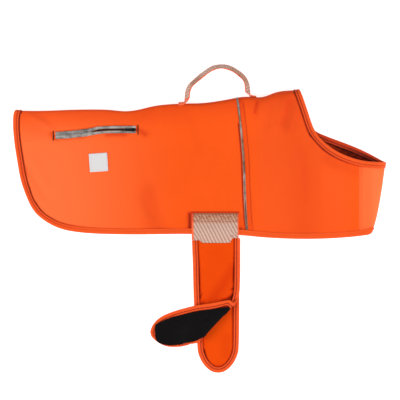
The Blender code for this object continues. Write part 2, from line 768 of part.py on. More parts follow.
def make_bindings(back, front, chest):
    back_cloth, back_grid = back
    front_cloth, front_grid, near, far = front
    chest_cloth, chest_grid = chest
    hem = Edge()
    hem.follow(chest_cloth, chest_grid[0, :], chest_grid[1, :])
    hem.follow(front_cloth, far[:, -1][::-1], far[:, -2][::-1])
    hem.follow(front_cloth, front_grid[:, -1][::-1], front_grid[:, -2][::-1])
    turn, square = len(TAIL_SQUARE), np.array(TAIL_SQUARE)
    belly = np.concatenate([square, np.zeros(len(back_grid) - turn)])
    near_side = np.append(back_grid[turn, turn], back_grid[1:, 1])
    far_side = np.append(back_grid[turn, -turn - 1], back_grid[1:, -2])
    tail = np.concatenate([square[1:], np.zeros(back_grid.shape[1] - 2 * turn), square[:0:-1]])
    hem.follow(back_cloth, back_grid[::-1, -1], far_side[::-1], belly[::-1])
    hem.follow(back_cloth, back_grid[0, -2:0:-1], back_grid[1, -2:0:-1], tail)
    hem.follow(back_cloth, back_grid[:, 0], near_side, belly)
    hem.follow(front_cloth, front_grid[:, 0], front_grid[:, 1])
    hem.follow(front_cloth, near[:, 0], near[:, 1])
    hem.bind("hem_binding", "binding_tape", closed=True)
    neck = Edge()
    neck.follow(chest_cloth, chest_grid[-1, :], chest_grid[-2, :])
    neck.follow(front_cloth, far[1:, 0][::-1], far[1:, 1][::-1])
    slope = slice(UPPER_BEND_ROW, -UNDER_BEND_ROW)
    neck.follow(front_cloth, front_grid[-1, slope][::-1], front_grid[-2, slope][::-1])
    neck.follow(front_cloth, near[1:, -1], near[1:, -2])
    neck.bind("neck_binding", "binding_tape", closed=True)


def make_piping():
    """A flat reflective strip in the seam, a little proud of the cloth beyond the bindings."""
    half = SPINE_SEAM_SHARE * 0.5 * PIPING_WIDTH / SEAM_HALF
    edges = (-1.0, 0.0, 1.0)
    shares = SPINE_AT_PIPING + half * np.array(edges)
    starts = spine_starts(shares)
    sides = {}
    for side in ("upper", "under"):
        columns = [
            seam_side(side, edge * 0.5 * PIPING_WIDTH, starts[i]) for i, edge in enumerate(edges)
        ]
        sides[side] = np.stack(columns)
    outer, inner = folded(sides["upper"], spine_line(shares), sides["under"][:, ::-1])
    proud = np.full(outer.shape[1], PIPING_PROUD)
    proud[:2] = 0.0
    proud[-2:] = 0.0
    proud[-len(UNDER_ROWS) :] = 0.0
    outer += proud[None, :, None] * unit(outer - inner)
    build_grid("seam_piping", outer, inner, "reflective_tape")


# ---------------------------------------------------------------- what lies on the back


def laid(plan, gap, thick):
    """Outer and inner points of a piece that lies on the upper side."""
    height = upper_height(plan) + gap
    return lift(plan, height + thick), lift(plan, height)


zip_line = curve(ZIP_LINE)


def zip_strip(low, high, count):
    """Plan points of a strip along the zip, between two distances from its middle."""
    shares = np.linspace(0, 1, count)
    middle = zip_line(shares)
    along = unit(np.gradient(middle, axis=0))
    side = np.stack([-along[:, 1], along[:, 0]], axis=-1)
    steps = np.linspace(low, high, 3 if high - low > 3 else 2)
    return middle[:, None] + steps[None, :, None] * side[:, None]


def make_zip():
    inner_edge = COIL_HALF + SEAM
    for name, low, high in (
        ("zip_tape_upper", inner_edge, ZIP_HALF),
        ("zip_tape_lower", -ZIP_HALF, -inner_edge),
    ):
        build_grid(name, *laid(zip_strip(low, high, 17), LAY_GAP, ZIP_THICK), "reflective_tape")
    coil = zip_strip(-COIL_HALF, COIL_HALF, 17)
    build_grid("zip_coil", *laid(coil, LAY_GAP, ZIP_THICK), "zip_coil")
    make_slider()


def slider_frame():
    """Where the slider sits: the middle of its underside, and axes along the zip, across, out."""
    middle = zip_line(np.array([share_at(zip_line, 0, SLIDER_X)]))[0]
    reach = 0.5 * SLIDER_WIDTH
    low, high = upper_height(np.array([middle - (0, reach), middle + (0, reach)]))
    across = unit(np.array([0.0, SLIDER_WIDTH, high - low]))
    out = np.cross((1.0, 0.0, 0.0), across)
    seat = np.array([*middle, 0.5 * (low + high)]) + (LAY_GAP + ZIP_THICK + SEAM) * out
    return seat, np.column_stack([(1.0, 0.0, 0.0), across, out])


def extruded(outline, low, high):
    """Points and faces of an x, z outline drawn out along y."""
    count = len(outline)
    points = [(x, y, z) for y in (low, high) for x, z in outline]
    faces = [tuple(range(count)), tuple(reversed(range(count, 2 * count)))]
    for k in range(count):
        after = (k + 1) % count
        faces.append((after, k, count + k, count + after))
    return points, faces


def make_slider():
    seat, axes = slider_frame()
    half, nose = 0.5 * SLIDER_LENGTH, 0.5 * SLIDER_LENGTH - 2.2
    wide, slim = 0.5 * SLIDER_WIDTH, 0.5 * SLIDER_WIDTH - 1.6
    outline = [(-half, -slim), (-nose, -wide), (nose, -wide), (half, -slim)]
    outline += [(x, -y) for x, y in reversed(outline)]
    count = len(outline)
    points = [(x, y, z) for z in (0.0, SLIDER_THICK) for x, y in outline]
    faces = [tuple(reversed(range(count))), tuple(range(count, 2 * count))]
    for k in range(count):
        after = (k + 1) % count
        faces.append((k, after, count + after, count + k))
    body = add_object("zip_slider", np.array(points) @ axes.T, faces, "gunmetal", seat)
    reach, bar = 0.5 * BRIDGE_LENGTH, SLIDER_THICK + BRIDGE_HOLE
    root = SLIDER_THICK - 0.4
    arch = [(-reach, root), (-reach, bar + 0.5), (-reach + 0.5, bar + BRIDGE_BAR)]
    arch += [(-x, z) for x, z in reversed(arch)]
    arch += [(reach - 1.0, root), (reach - 1.0, bar), (1.0 - reach, bar), (1.0 - reach, root)]
    points, faces = extruded(arch, -0.5 * BRIDGE_WIDTH, 0.5 * BRIDGE_WIDTH)
    bridge = add_object("zip_bridge", np.array(points) @ axes.T, faces, "gunmetal", seat)
    bridge.hide_render = True
    bridge.display_type = "WIRE"
    join = body.modifiers.new("bridge", "BOOLEAN")
    join.operation = "UNION"
    join.object = bridge
    make_tab(seat, axes)


def make_tab(seat, axes):
    """The pull tab: a plate with an eye round the bridge. Its origin is on its hinge's axis."""
    pivot = seat + (SLIDER_THICK + 0.5 * BRIDGE_HOLE) * axes[:, 2]
    across = 0.5 * TAB_WIDTH
    bar = 0.5 * TAB_THICK
    along = (bar, -bar, -bar - TAB_EYE_LENGTH, -TAB_LENGTH)
    lines = (-across, TAB_ARM - across, across - TAB_ARM, across)
    plan = np.array([[(x, y) for y in lines] for x in along])
    cloth = Cloth()
    level = np.full(plan.shape[:2], bar)
    grid = cloth.add(lift(plan, level) @ axes.T, lift(plan, -level) @ axes.T)
    cloth.knit(grid[0:2])
    cloth.knit(grid[1:3, 0:2])
    cloth.knit(grid[1:3, 2:4])
    cloth.knit(grid[2:4])
    cloth.build("zip_pull_tab", "gunmetal", pivot)


def make_label():
    turn = math.radians(LABEL_TURN)
    steps = np.linspace(-0.5, 0.5, 4) * LABEL_SIZE
    x, y = np.meshgrid(steps, steps, indexing="ij")
    plan = np.stack(
        [
            LABEL_CENTRE[0] + x * math.cos(turn) - y * math.sin(turn),
            LABEL_CENTRE[1] + x * math.sin(turn) + y * math.cos(turn),
        ],
        axis=-1,
    )
    build_grid("label", *laid(plan, LAY_GAP, LABEL_THICK), "woven_patch")


# ---------------------------------------------------------------- handle


def tab_section(x, out):
    """A section of the handle's end, wrapped on the spine `out` from its surface."""
    fold = spine_line(np.array([share_at(spine_line, 0, x)]))[0]
    top = float(upper_height(fold[None] - (0, 8.0))[0])
    half = 0.5 * top + out
    reach = BEND_SHARE * 0.5 * top + out
    levels = np.linspace(-0.5, 0.5, 5) * HANDLE_WIDTH
    share = np.clip(np.abs(levels + HANDLE_MIDDLE_Z - 0.5 * top) / half, 0, 0.97)
    back = reach * (1 - (1 - share**BEND_POWER) ** (1 / BEND_POWER))
    y = fold[1] + out - back
    return np.stack([np.full(5, x), y, HANDLE_MIDDLE_Z + levels], axis=-1)


def make_handle():
    lean = math.radians(HANDLE_LEAN)
    levels = np.linspace(-0.5, 0.5, 5) * HANDLE_WIDTH
    line = curve(HANDLE_LINE)(np.linspace(0, 1, 30))
    along = unit(np.gradient(line, axis=0))
    inward = np.stack([along[:, 1], -along[:, 0], 0 * along[:, 0]], axis=-1)
    up = np.array([0.0, 0.0, 1.0])
    width = math.cos(lean) * up + math.sin(lean) * inward
    face = math.sin(lean) * up - math.cos(lean) * inward
    foot = np.column_stack([line, np.full(len(line), HANDLE_MIDDLE_Z)])
    middle = foot + 0.5 * HANDLE_WIDTH * math.sin(lean) * inward - 0.5 * HANDLE_THICK * face
    rings = []
    for spot, wide, out in zip(middle, width, face):
        flat = spot + levels[:, None] * wide
        lower = flat - 0.5 * HANDLE_THICK * out
        upper = flat + 0.5 * HANDLE_THICK * out
        rings.append(np.vstack([lower, upper[::-1]]))
    left, right = HANDLE_FEET
    ends = []
    for x, way in ((left, -1), (right, 1)):
        rows = []
        for step in (1.0, 0.5, 0.12):
            spot = x + way * step * HANDLE_TAB
            lower = tab_section(spot, HANDLE_GAP)
            upper = tab_section(spot, HANDLE_GAP + HANDLE_THICK)
            rows.append(np.vstack([lower, upper[::-1]]))
        ends.append(rows)
    sections = np.array(ends[0] + rings + ends[1][::-1])
    sweep("handle", sections, "striped_webbing", closed=False)


# ---------------------------------------------------------------- straps


def make_near_webbing():
    xs = np.linspace(*NEAR_WEBBING, 6)
    rows = np.array(NEAR_WEBBING_ROWS)
    plan = np.stack(np.meshgrid(xs, rows[:, 0], indexing="ij"), axis=-1)
    over = upper_height(plan) + rows[None, :, 1]
    strap = NEAR_STRAP_TOP_Z - 0.5 * WEBBING_THICK
    height = over + rows[None, :, 2] * (strap - over)
    build_grid(
        "near_webbing", lift(plan, height + WEBBING_THICK), lift(plan, height), "striped_webbing"
    )


def make_far_webbing():
    xs = np.linspace(*FAR_WEBBING, 5)
    rows = np.array(FAR_WEBBING_ROWS)
    plan = np.stack(np.meshgrid(xs, rows[:, 0], indexing="ij"), axis=-1)
    height = np.broadcast_to(rows[None, :, 1], plan.shape[:2])
    build_grid(
        "far_webbing", lift(plan, height + WEBBING_THICK), lift(plan, height), "striped_webbing"
    )


def curled(across, curl):
    """Shares of the way across, and rise per width, of a section that curls over at its far edge."""
    dense = np.linspace(0, 1, 101)
    slope = np.radians(curl * (CURL_START + CURL_SWEEP * dense**CURL_POWER))
    steps = 0.5 / 100 * np.stack(
        [
            np.cos(slope[1:]) + np.cos(slope[:-1]),
            -np.sin(slope[1:]) - np.sin(slope[:-1]),
        ]
    )
    forward, rise = np.concatenate([np.zeros((2, 1)), np.cumsum(steps, axis=1)], axis=1)
    share = forward / forward[-1]
    rise = (rise - rise[-1] * share) / forward[-1]
    return np.interp(across, dense, share), np.interp(across, dense, rise)


def near_strap_surface():
    """The middle of the near strap's cloth, read by the share of its length and of its width."""
    rows = np.array(NEAR_STRAP)
    right, left, curl = rows[:, 0:3], rows[:, 3:6], rows[:, 6]
    way = unit(left - right) * EDGE
    right, left = right + way, left - way
    step = 0.5 * (
        np.linalg.norm(np.diff(right, axis=0), axis=1)
        + np.linalg.norm(np.diff(left, axis=0), axis=1)
    )
    at = np.concatenate([[0.0], np.cumsum(step)]) / step.sum()
    table = spline(at, np.column_stack([right, left, curl]), steady=True)

    def surface(shares, across):
        points = []
        for row, places in zip(table(np.asarray(shares, float)), across):
            start, end = row[0:3], row[3:6]
            share, rise = curled(places, row[6])
            line = start + share[:, None] * (end - start)
            line[:, 2] += rise * np.linalg.norm((end - start)[:2])
            points.append(line)
        return np.array(points)

    return at, surface


def surface_normals(surface, shares, across):
    """Normals of the strap's outer face, which is its upper one above the fold."""
    step = 0.003
    along = surface(np.clip(shares + step, 0, 1), across)
    along = along - surface(np.clip(shares - step, 0, 1), across)
    over = surface(shares, np.clip(across + step, 0, 1))
    over = over - surface(shares, np.clip(across - step, 0, 1))
    return unit(np.cross(over, along))


def make_near_strap():
    at, surface = near_strap_surface()
    spans = [
        np.linspace(start, end, row[-1], endpoint=False)
        for start, end, row in zip(at[:-1], at[1:], NEAR_STRAP)
    ]
    shares = np.concatenate([*spans, [1.0]])
    across = np.tile(STRAP_ACROSS, (len(shares), 1))
    middle = surface(shares, across)
    out = surface_normals(surface, shares, across)
    cloth = Cloth()
    grid = cloth.add(middle + 0.5 * SHELL * out, middle - 0.5 * SHELL * out)
    cloth.knit(grid)
    cloth.build("near_strap", "strap_shell")
    bind_strap("near_strap_binding", cloth, grid, -NEAR_FLAT_ROWS)
    inside = [s for s in shares if HOOK_START < s < HOOK_END]
    make_hook_tape(surface, np.array([HOOK_START, *inside, HOOK_END]))


def make_hook_tape(surface, shares):
    """Hook tape on the strap's inner face, inside its binding and round at its end."""
    edges = np.tile((0.0, STRAP_ACROSS[1], STRAP_ACROSS[-2], 1.0), (len(shares), 1))
    right, by_right, by_left, left = surface(shares, edges).transpose(1, 0, 2)
    width = np.linalg.norm(left - right, axis=-1)
    clear = []
    for edge, near in ((right, by_right), (left, by_left)):
        along = unit(np.gradient(edge, axis=0))
        sine = np.linalg.norm(np.cross(along, unit(near - edge)), axis=-1)
        clear.append((BINDING - EDGE + HOOK_INSET) / sine / width)
    low, high = clear[0][:, None], 1 - clear[1][:, None]
    steps = (STRAP_ACROSS[1:-1] - STRAP_ACROSS[1]) / (STRAP_ACROSS[-2] - STRAP_ACROSS[1])
    across = low + (high - low) * steps
    middle = surface(shares, across)
    out = surface_normals(surface, shares, across)
    face = middle - (0.5 * SHELL + HOOK_GAP) * out
    build_grid("near_hook_tape", face, face - HOOK_THICK * out, "hook_tape")


def bind_strap(name, cloth, grid, flat_from):
    """Binding down one edge of a strap, round its end and back up the other edge.

    From the row `flat_from` on, its legs are square to the edge.
    """
    edge = Edge()
    edge.follow(cloth, grid[:flat_from, 0], grid[:flat_from, 1])
    edge.follow(cloth, grid[flat_from:, 0], grid[flat_from:, 1], 1.0)
    edge.follow(cloth, grid[-1, 1:-1], grid[-2, 1:-1], 1.0)
    edge.follow(cloth, grid[flat_from:, -1][::-1], grid[flat_from:, -2][::-1], 1.0)
    edge.follow(cloth, grid[:flat_from, -1][::-1], grid[:flat_from, -2][::-1])
    edge.bind(name, "binding_tape", closed=False)


def far_strap_rows(top, inside):
    """y and half width of the far strap at each row, down to its round end."""
    half = FAR_STRAP_HALF - inside
    depth = FAR_STRAP_ROUND_Y - FAR_STRAP_END_Y - inside
    rows = [(y, half) for y in np.linspace(top, FAR_STRAP_ROUND_Y, FAR_STRAP_ROWS)]
    for angle in FAR_ROUND_ANGLES[1:]:
        across = math.cos(angle) ** (2 / FAR_STRAP_POWER)
        down = math.sin(angle) ** (2 / FAR_STRAP_POWER)
        rows.append((FAR_STRAP_ROUND_Y - depth * down, half * across))
    return np.array(rows)


def make_far_strap():
    rows = far_strap_rows(FAR_STRAP_TOP_Y, EDGE)
    steps = 1 - 2 * STRAP_ACROSS
    x = FAR_STRAP_MIDDLE_X + rows[:, 1:2] * steps[None]
    y = np.broadcast_to(rows[:, 0:1], x.shape)
    plan = np.stack([x, y], axis=-1)
    level = np.full(x.shape, FAR_STRAP_LEVEL)
    cloth = Cloth()
    grid = cloth.add(lift(plan, level + 0.5 * SHELL), lift(plan, level - 0.5 * SHELL))
    cloth.knit(grid)
    cloth.build("far_strap", "strap_shell")
    bind_strap("far_strap_binding", cloth, grid, 0)
    rows = far_strap_rows(LOOP_TOP_Y, BINDING + HOOK_INSET)
    x = FAR_STRAP_MIDDLE_X + rows[:, 1:2] * np.linspace(1, -1, 4)[None]
    plan = np.stack([x, np.broadcast_to(rows[:, 0:1], x.shape)], axis=-1)
    top = np.full(x.shape, FAR_STRAP_LEVEL - 0.5 * SHELL - SEAM)
    build_grid("far_loop_tape", lift(plan, top), lift(plan, top - TAPE), "loop_tape")


def main():
    for item in list(bpy.data.objects):
        bpy.data.objects.remove(item)
    back, front, chest = make_back(), make_front(), make_chest()
    make_bindings(back, front, chest)
    make_piping()
    make_zip()
    make_label()
    make_handle()
    make_near_webbing()
    make_far_webbing()
    make_near_strap()
    make_far_strap()


main()
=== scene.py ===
"""Looks of the dog jacket: cloth, tapes, webbing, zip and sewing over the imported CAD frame.

The file is laid out as a Blender add-on and is run as a script. A size in its tables is in
millimetres where no other unit is named, x from the tail to the chest, y from the belly to the
spine, z up.
"""

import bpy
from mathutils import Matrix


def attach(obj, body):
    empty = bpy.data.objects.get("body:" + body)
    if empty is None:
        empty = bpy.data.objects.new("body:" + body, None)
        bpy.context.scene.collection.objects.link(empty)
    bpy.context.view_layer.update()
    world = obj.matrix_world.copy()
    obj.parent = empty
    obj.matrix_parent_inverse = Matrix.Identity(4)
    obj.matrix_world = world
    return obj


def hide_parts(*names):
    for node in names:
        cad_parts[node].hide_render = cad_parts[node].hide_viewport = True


bl_info = {
    "name": "Dog Jacket",
    "version": (1, 0, 0),
    "blender": (4, 5, 0),
    "location": "View3D > Sidebar > Jacket",
    "description": "Sews a soft shell dog jacket, laid flat",
    "category": "Add Mesh",
}

import math

import bmesh
import bpy
import numpy as np
from bpy.props import FloatProperty, FloatVectorProperty, PointerProperty
from mathutils import Vector
from mathutils.bvhtree import BVHTree

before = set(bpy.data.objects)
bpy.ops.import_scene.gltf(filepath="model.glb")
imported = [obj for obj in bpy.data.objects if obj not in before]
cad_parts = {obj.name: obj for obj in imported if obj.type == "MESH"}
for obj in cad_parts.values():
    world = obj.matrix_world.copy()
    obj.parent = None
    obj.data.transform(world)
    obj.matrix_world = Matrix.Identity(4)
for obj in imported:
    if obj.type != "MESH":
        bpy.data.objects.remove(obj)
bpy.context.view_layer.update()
MM = 0.001
FLOOR, LOWEST = -0.0004, -0.0002  # z of the floor and of the lowest thread on it, in metres
WELD = 5e-6  # metres within which points are one
FLOOR_HALF, FLOOR_GREY, FLOOR_GLOW, WORLD_GLOW = 3, 0.6, 0.74, 0.41
SENSOR_WIDTH = 36.0
PICTURE_WIDTH, CAMERA_PLACE = 0.72, (0.0008, 0.0329, 3.6)  # metres
LIGHTS = (  # name, size, power, place in metres
    ("overhead_softbox", 1.6, 14.0, (0.1, -0.5, 2.2)),
    ("tail_softbox", 0.7, 11.5, (-1.15, -0.25, 0.85)),
    ("chest_softbox", 0.6, 7.5, (1.05, -0.2, 0.6)),
)

# Soft ridges and troughs laid in each side of the cloth: half width, rise, then x, y along each
CREASES = {
    "upper": (
        (5.0, 1.4, (-262, 157), (-284, 173), (-305, 184)),  # at the zip's tail end
        (8.0, -1.3, (-262, 162), (-276, 180), (-294, 191)),
        (8.0, -1.2, (-266, 152), (-287, 159), (-309, 161)),
        (6.0, 1.1, (-269, 143), (-291, 139), (-312, 136)),
        (5.0, -1.4, (-107, 162), (-86, 155)),  # at its other end
        (6.0, 1.2, (-105, 170), (-89, 188)),
        (17.0, -1.5, (-95, 54), (-86, 19), (-71, -21)),  # belly
        (7.0, -1.2, (-102, 40), (-89, 8)),
        (13.0, 1.6, (-62, 54), (-39, -18)),
        (8.0, -0.88, (-109, 126), (-96, 76)),  # flank
        (6.0, -1.2, (-311, 90), (-298, 69), (-280, 40)),  # along the tail's curve
        (8.0, 1.1, (-298, 105), (-273, 58)),
        (5.0, -1.4, (103, 208), (100, 182)),  # under the handle's foot
        (3.0, 1.2, (94, 200), (95, 175)),
        (6.5, 1.8, (150, 209), (138, 166)),  # shoulder
        (8.0, -1.9, (163, 208), (150, 172)),
        (7.0, -1.1, (129, 204), (120, 162)),
        (5.0, 1.2, (174, 198), (159, 157)),
        (14.0, 1.2, (213, 123), (228, -21)),  # front
        (9.0, -1.1, (181, 123), (192, 33)),
        (6.0, -0.88, (303, 83), (300, -14)),  # chest
        (4.0, -1.9, (-20, 11), (-18, -26)),  # beside the webbing
        (4.0, -1.4, (76, 8), (78, -28)),
        (4.0, -0.7, (-206, 123), (-208, 76)),  # beside the label
        (9.0, -1.1, (-17, 180), (1, 123)),  # saddle
        (10.0, 1.1, (28, 191), (40, 123)),
    ),
    "under": (
        (9.0, 0.7, (-290, 40), (-240, 96), (-230, 150)),
        (7.0, 0.6, (-180, 20), (-150, 90)),
        (10.0, 0.8, (-60, 150), (-30, 60), (-36, 10)),
        (6.0, 0.5, (30, 190), (24, 110)),
        (8.0, 0.7, (120, 190), (140, 110), (134, 30)),
        (9.0, 0.6, (200, 120), (230, 40)),
        (6.0, 0.5, (298, 80), (294, 0)),
    ),
}

SPINE = (  # x, y of the fold along the back
    (-334, 197), (-100, 193), (-20, 207), (40, 213), (100, 219), (170, 231), (340, 231)
)
# Painted soft shade laid on a side of the cloth, a strap or the handle: half width, strength, then
# x, y
SHADES = {
    "upper": (
        (3.0, 0.75, (-17.5, 8), (-17, -12), (-18, -30)),  # beside the webbing
        (3.5, 0.7, (74, -20), (78, -30)),
        (1.6, 0.6, (-14, 11.0), (70, 11.0)),  # above it
        (4.5, 0.35, (-166, 150), (-152, 151), (-134, 151)),  # under the zip
        (3.0, 0.2, (-258, 142), (-208, 146)),
        (5.0, 0.3, (-266, 152), (-261, 144)),  # at its ends
        (5.0, 0.3, (-106, 156), (-98, 150)),
        (4.5, 0.16, (72.5, 211), (77, 160), (83, 110), (85.5, 50), (88.4, 0), (91, -26)),
        (1.3, 0.9, (69.8, 170), (75, 113), (77.5, 50), (80.4, 0), (82.8, -24)),
        (3.5, 0.25, (103, 207), (99, 190)),  # under the handle's foot
        (9.0, 0.12, (158, 205), (147, 172)),  # shoulder
        (12.0, 0.1, (176, 190), (160, 160)),
        (18.0, 0.11, (-92, 50), (-84, -14)),  # belly
        (3.0, 1.0, (-184, 157.3), (-161, 159.1), (-116, 159.2)),  # the open pocket
        (10.0, 0.1, (228, 105), (250, 92), (282, 84)),  # below the neck
        (30.0, 0.08, (180, 120), (190, -20)),
    ),
    "near": (
        (11.0, 0.2, (60, -91), (42, -120), (20, -150)),  # belly strap
        (3.4, 0.8, (62, -137), (50, -146), (40, -149)),
        (45.0, 0.06, (30, -60), (10, -150)),
    ),
    "far": (
        (2.0, 0.85, (8, -236), (11.5, -251), (17, -262)),
        (2.0, 0.8, (62.5, -230), (59, -249), (53, -259)),
        (6.0, 0.2, (20, -268), (46, -268)),
        (10.0, 0.1, (48, -215), (48, -245)),
    ),
    "handle": (
        (5.0, 0.4, (-12, 243), (-3, 251)),
        (7.0, 0.25, (60, 266), (84, 248)),
        (30.0, 0.14, (-26, 225), (40, 277), (90, 240)),
    ),
}
# Painted shadow lines beside the bindings, darker or fainter along x
EDGE_SHADE = {  # x, strength of the dark line where a binding ends on the cloth
    "hem": ((-334, 1.0), (-285, 0.95), (-235, 0.5), (-200, 0.2), (-150, 0.08), (310, 0.05)),
    "neck": ((168, 0.85), (232, 0.8), (290, 0.35), (334, 0.2)),
    "strap": ((-90, 0.7), (80, 0.8)),
}

# Sewn lines, x, y along each
BODY_SEAM = ((86.0, -25.4), (83.6, -0.2), (80.9, 50.4), (78.4, 113.5), (73.3, 166.5), (68.0, 208.0))
CHEST_SEAM = ((286.3, -31.0), (284.5, 102.6))
CHEST_EDGES, CHEST_GAP = ((-31.0, 102.6), (286.3, 284.6)), 0.3  # y, y, x, x and width
TOPSTITCH_OFF = 10.0  # of the topstitching from the body seam
TOPSTITCH = tuple((x + TOPSTITCH_OFF, y) for x, y in BODY_SEAM)
SEWN_RELIEF = (  # the cloth along a line: rise, distance from the line, half width
    (CHEST_SEAM, 0.45, 4.5, 2.6),  # seam allowances make low ridges beside a seam
    (BODY_SEAM, 0.45, 4.5, 2.6),
    (CHEST_SEAM, -0.5, 0.0, 1.6),  # and the cloth sinks in where it is sewn
    (BODY_SEAM, -0.5, 0.0, 1.6),
    (TOPSTITCH, -0.35, 0.0, 1.6),
)
ZIP_HOLLOW = (-0.8, 8.5)  # rise and half width of the cloth's hollow under the zip
BOUND_HALF = 2.2  # half width of the cloth's sink beside a binding
SIDES_PART = (3.4, 4.8)  # z, z between which the far side ends and the near side begins
BINDING_RELIEF = (  # share of a binding's width from its fold, half width, rise
    (0.22, 0.2, 0.45), (0.62, 0.11, -0.75), (0.84, 0.1, 0.4)
)
BINDING_SEWN = 0.608  # share of a binding's width, from its fold, where its stitches run
PATCH_CENTRE, PATCH_SIZE, PATCH_TURN = (-181.5, 100.4), 33.0, math.radians(4.0)
ZIP_LINE = (
    (-258.4, 148.5), (-229.6, 150.6), (-208.0, 153.0), (-193.6, 155.3),
    (-179.2, 158.2), (-161.2, 159.1), (-143.2, 159.2), (-114.4, 159.2),
)
ZIP_OPEN_X = -186.0  # from here to the slider the coil shows between the tapes
ZIP_BOX_X, ZIP_BOX_OFF = (-262.5, -110.3), 8.3  # x of its bar tacks, half its height
# A turn of the coil: its lean, its middle's and half its width, its height and half its rise
COIL_LEAN, COIL_OFF, COIL_HALF, COIL_Z, COIL_RISE, COIL_RADIUS = 0.12, 0.34, 0.5, -0.32, 0.42, 0.24
NEAR_WEBBING = (-14.0, 70.0, 9.0)  # x, x, y of its upper edge
FAR_WEBBING = (-4.0, 70.0, 9.0)
HOOK_EDGE = (  # x, y of the hook tape's edge on the folded tongue, round from the fold
    (57.5, -158.2), (28.2, -161.9), (5.1, -164.7), (-17.9, -169.2), (-33.9, -172.7),
    (-48.9, -176.8), (-65.0, -183.2), (-75.5, -188.5), (-84.5, -197.0), (-86.5, -205.0),
    (-81.0, -216.5), (-70.0, -225.2), (-60.4, -227.6), (-48.9, -229.4), (-36.3, -229.0),
    (-23.5, -225.6), (-10.9, -220.6), (4.0, -214.0),
)
HOOK_TIP = (-78.0, -202.0)
STRAP_SEAM_Y = -42.7  # of the seam between webbing and strap
STRAP_RIDGE, STRAP_TROUGH = ((46, -79), (1, -133)), ((58, -103), (22, -148))
HOOK = ((0, 0, -0.2), (0, 0, 0.9), (0.35, 0, 1.25), (0.75, 0, 0.95))  # a stem bent over
LOOP = ((-0.7, 0, -0.2), (-0.4, 0, 0.3), (0.4, 0, 0.3), (0.7, 0, -0.2))  # of soft filament
STITCH = (  # rings of a stitch: share of its length, of its thickness, and height
    (-0.5, 0.3, -0.9), (-0.3, 0.95, 0.1), (0.3, 0.95, 0.1), (0.5, 0.3, -0.9)
)
HANDLE_LINE = (
    (-38.0, 209.0), (-27.5, 211.5), (-25.5, 230.6), (-20.0, 241.6), (-8.2, 252.5),
    (6.2, 264.2), (20.6, 273.6), (40.4, 277.7), (56.6, 274.1), (74.6, 263.3),
    (85.4, 252.5), (89.8, 241.6), (91.5, 219.0), (102.0, 218.0),
)
HANDLE_WIDE = 18.0
HANDLE_FEET = ((-36.5, -28.5), (92.0, 100.5))  # x, x of the sewing on each foot
HANDLE_ROWS_Z = (0.004, 0.0095, 0.014)  # metres

# Patterns whose scale isn't a setting, in metres or for each metre
SELVEDGE, RIB_PITCH, WARP_PITCH = 0.0017, 0.0011, 0.0014  # width and distances in the webbing
FIBRE, MOTTLE = 2600.0, 26.0  # fibres 0.4 mm wide, and clouds 40 mm wide in the dye
BEADS, BEAD_CLOUDS = 520.0, 90.0  # cracks 2 mm apart in the bead film, and clouds 11 mm wide
WOBBLE, FLECK = 420.0, 650.0  # of the stripes, 2.4 mm and 1.5 mm wide


def hex_colour(code):
    """A linear colour from an sRGB hex value."""
    channels = [int(code[i : i + 2], 16) / 255 for i in (1, 3, 5)]
    return tuple(c / 12.92 if c <= 0.04045 else ((c + 0.055) / 1.055) ** 2.4 for c in channels)


def colour_setting(name, description, code):
    return FloatVectorProperty(
        name=name,
        description=description,
        subtype="COLOR",
        size=3,
        min=0.0,
        max=1.0,
        default=hex_colour(code),
    )


def length_setting(name, description, millimetres):
    return FloatProperty(
        name=name, description=description, unit="LENGTH", min=0.0, default=millimetres * MM
    )


class JacketColours(bpy.types.PropertyGroup):
    """Colours of the jacket's cloths and trims."""

    shell: colour_setting("Soft shell", "Face of the body's cloth", "#F6590A")
    shell_shade: colour_setting("Soft shell shade", "Its darker yarns", "#EA4D06")
    lining: colour_setting("Lining", "Brushed inner face of the cloth", "#C4430F")
    binding: colour_setting("Binding", "Folded tape round the edges", "#F2540C")
    strap: colour_setting("Strap", "Cloth of the belly strap", "#EE4B01")
    silver: colour_setting("Silver yarn", "Reflective stripes of the webbing", "#D2B4A6")
    webbing: colour_setting("Webbing ground", "Yarn between the stripes", "#A9775F")
    selvedge: colour_setting("Selvedge", "Edges of the webbing", "#F2622A")
    reflective: colour_setting("Reflective tape", "Zip tapes and piping", "#85817D")
    coil: colour_setting("Zip coil", "Nylon coil of the zip", "#17181A")
    gunmetal: colour_setting("Gunmetal", "Plated slider and pull", "#1C1B1A")
    hook: colour_setting("Hook and loop", "Closing tapes", "#0F0D0E")
    patch: colour_setting("Patch", "Woven square patch", "#DBD8D8")
    thread: colour_setting("Thread", "Sewing thread", "#8C2C08")
    dark_thread: colour_setting("Dark thread", "Sewing thread round the zip", "#32120A")


class JacketSizes(bpy.types.PropertyGroup):
    """Sizes of what is sewn and woven."""

    weave_pitch: length_setting("Weave", "Distance between ribs of the cloth's face", 1.2)
    stitch_length: length_setting("Stitch", "Length of a stitch", 3.1)
    stitch_gap: length_setting("Stitch gap", "Distance between two stitches", 1.3)
    thread_width: length_setting("Thread", "Thickness of the thread", 0.9)
    stripe_pitch: length_setting("Stripe", "Distance between the webbing's stripes", 5.6)
    hook_pitch: length_setting("Hooks", "Distance between hooks", 2.4)
    coil_pitch: length_setting("Coil", "Distance between turns of the zip's coil", 1.3)


# ---------------------------------------------------------------- materials


def add_node(tree, kind, inputs=(), **settings):
    """A shader node with its settings, and its inputs from values or from other sockets."""
    made = tree.nodes.new("ShaderNode" + kind)
    for key, value in settings.items():
        setattr(made, key, value)
    for key, value in dict(inputs).items():
        if isinstance(value, bpy.types.NodeSocket):
            tree.links.new(value, made.inputs[key])
        else:
            made.inputs[key].default_value = value
    return made


def start_material(name, surface):
    """A new material, its node tree and its shader, with constant values on its sockets."""
    made = bpy.data.materials.new(name)
    made.use_nodes = True
    shader = made.node_tree.nodes["Principled BSDF"]
    for key, value in surface.items():
        shader.inputs[key].default_value = value
    return made, made.node_tree, shader


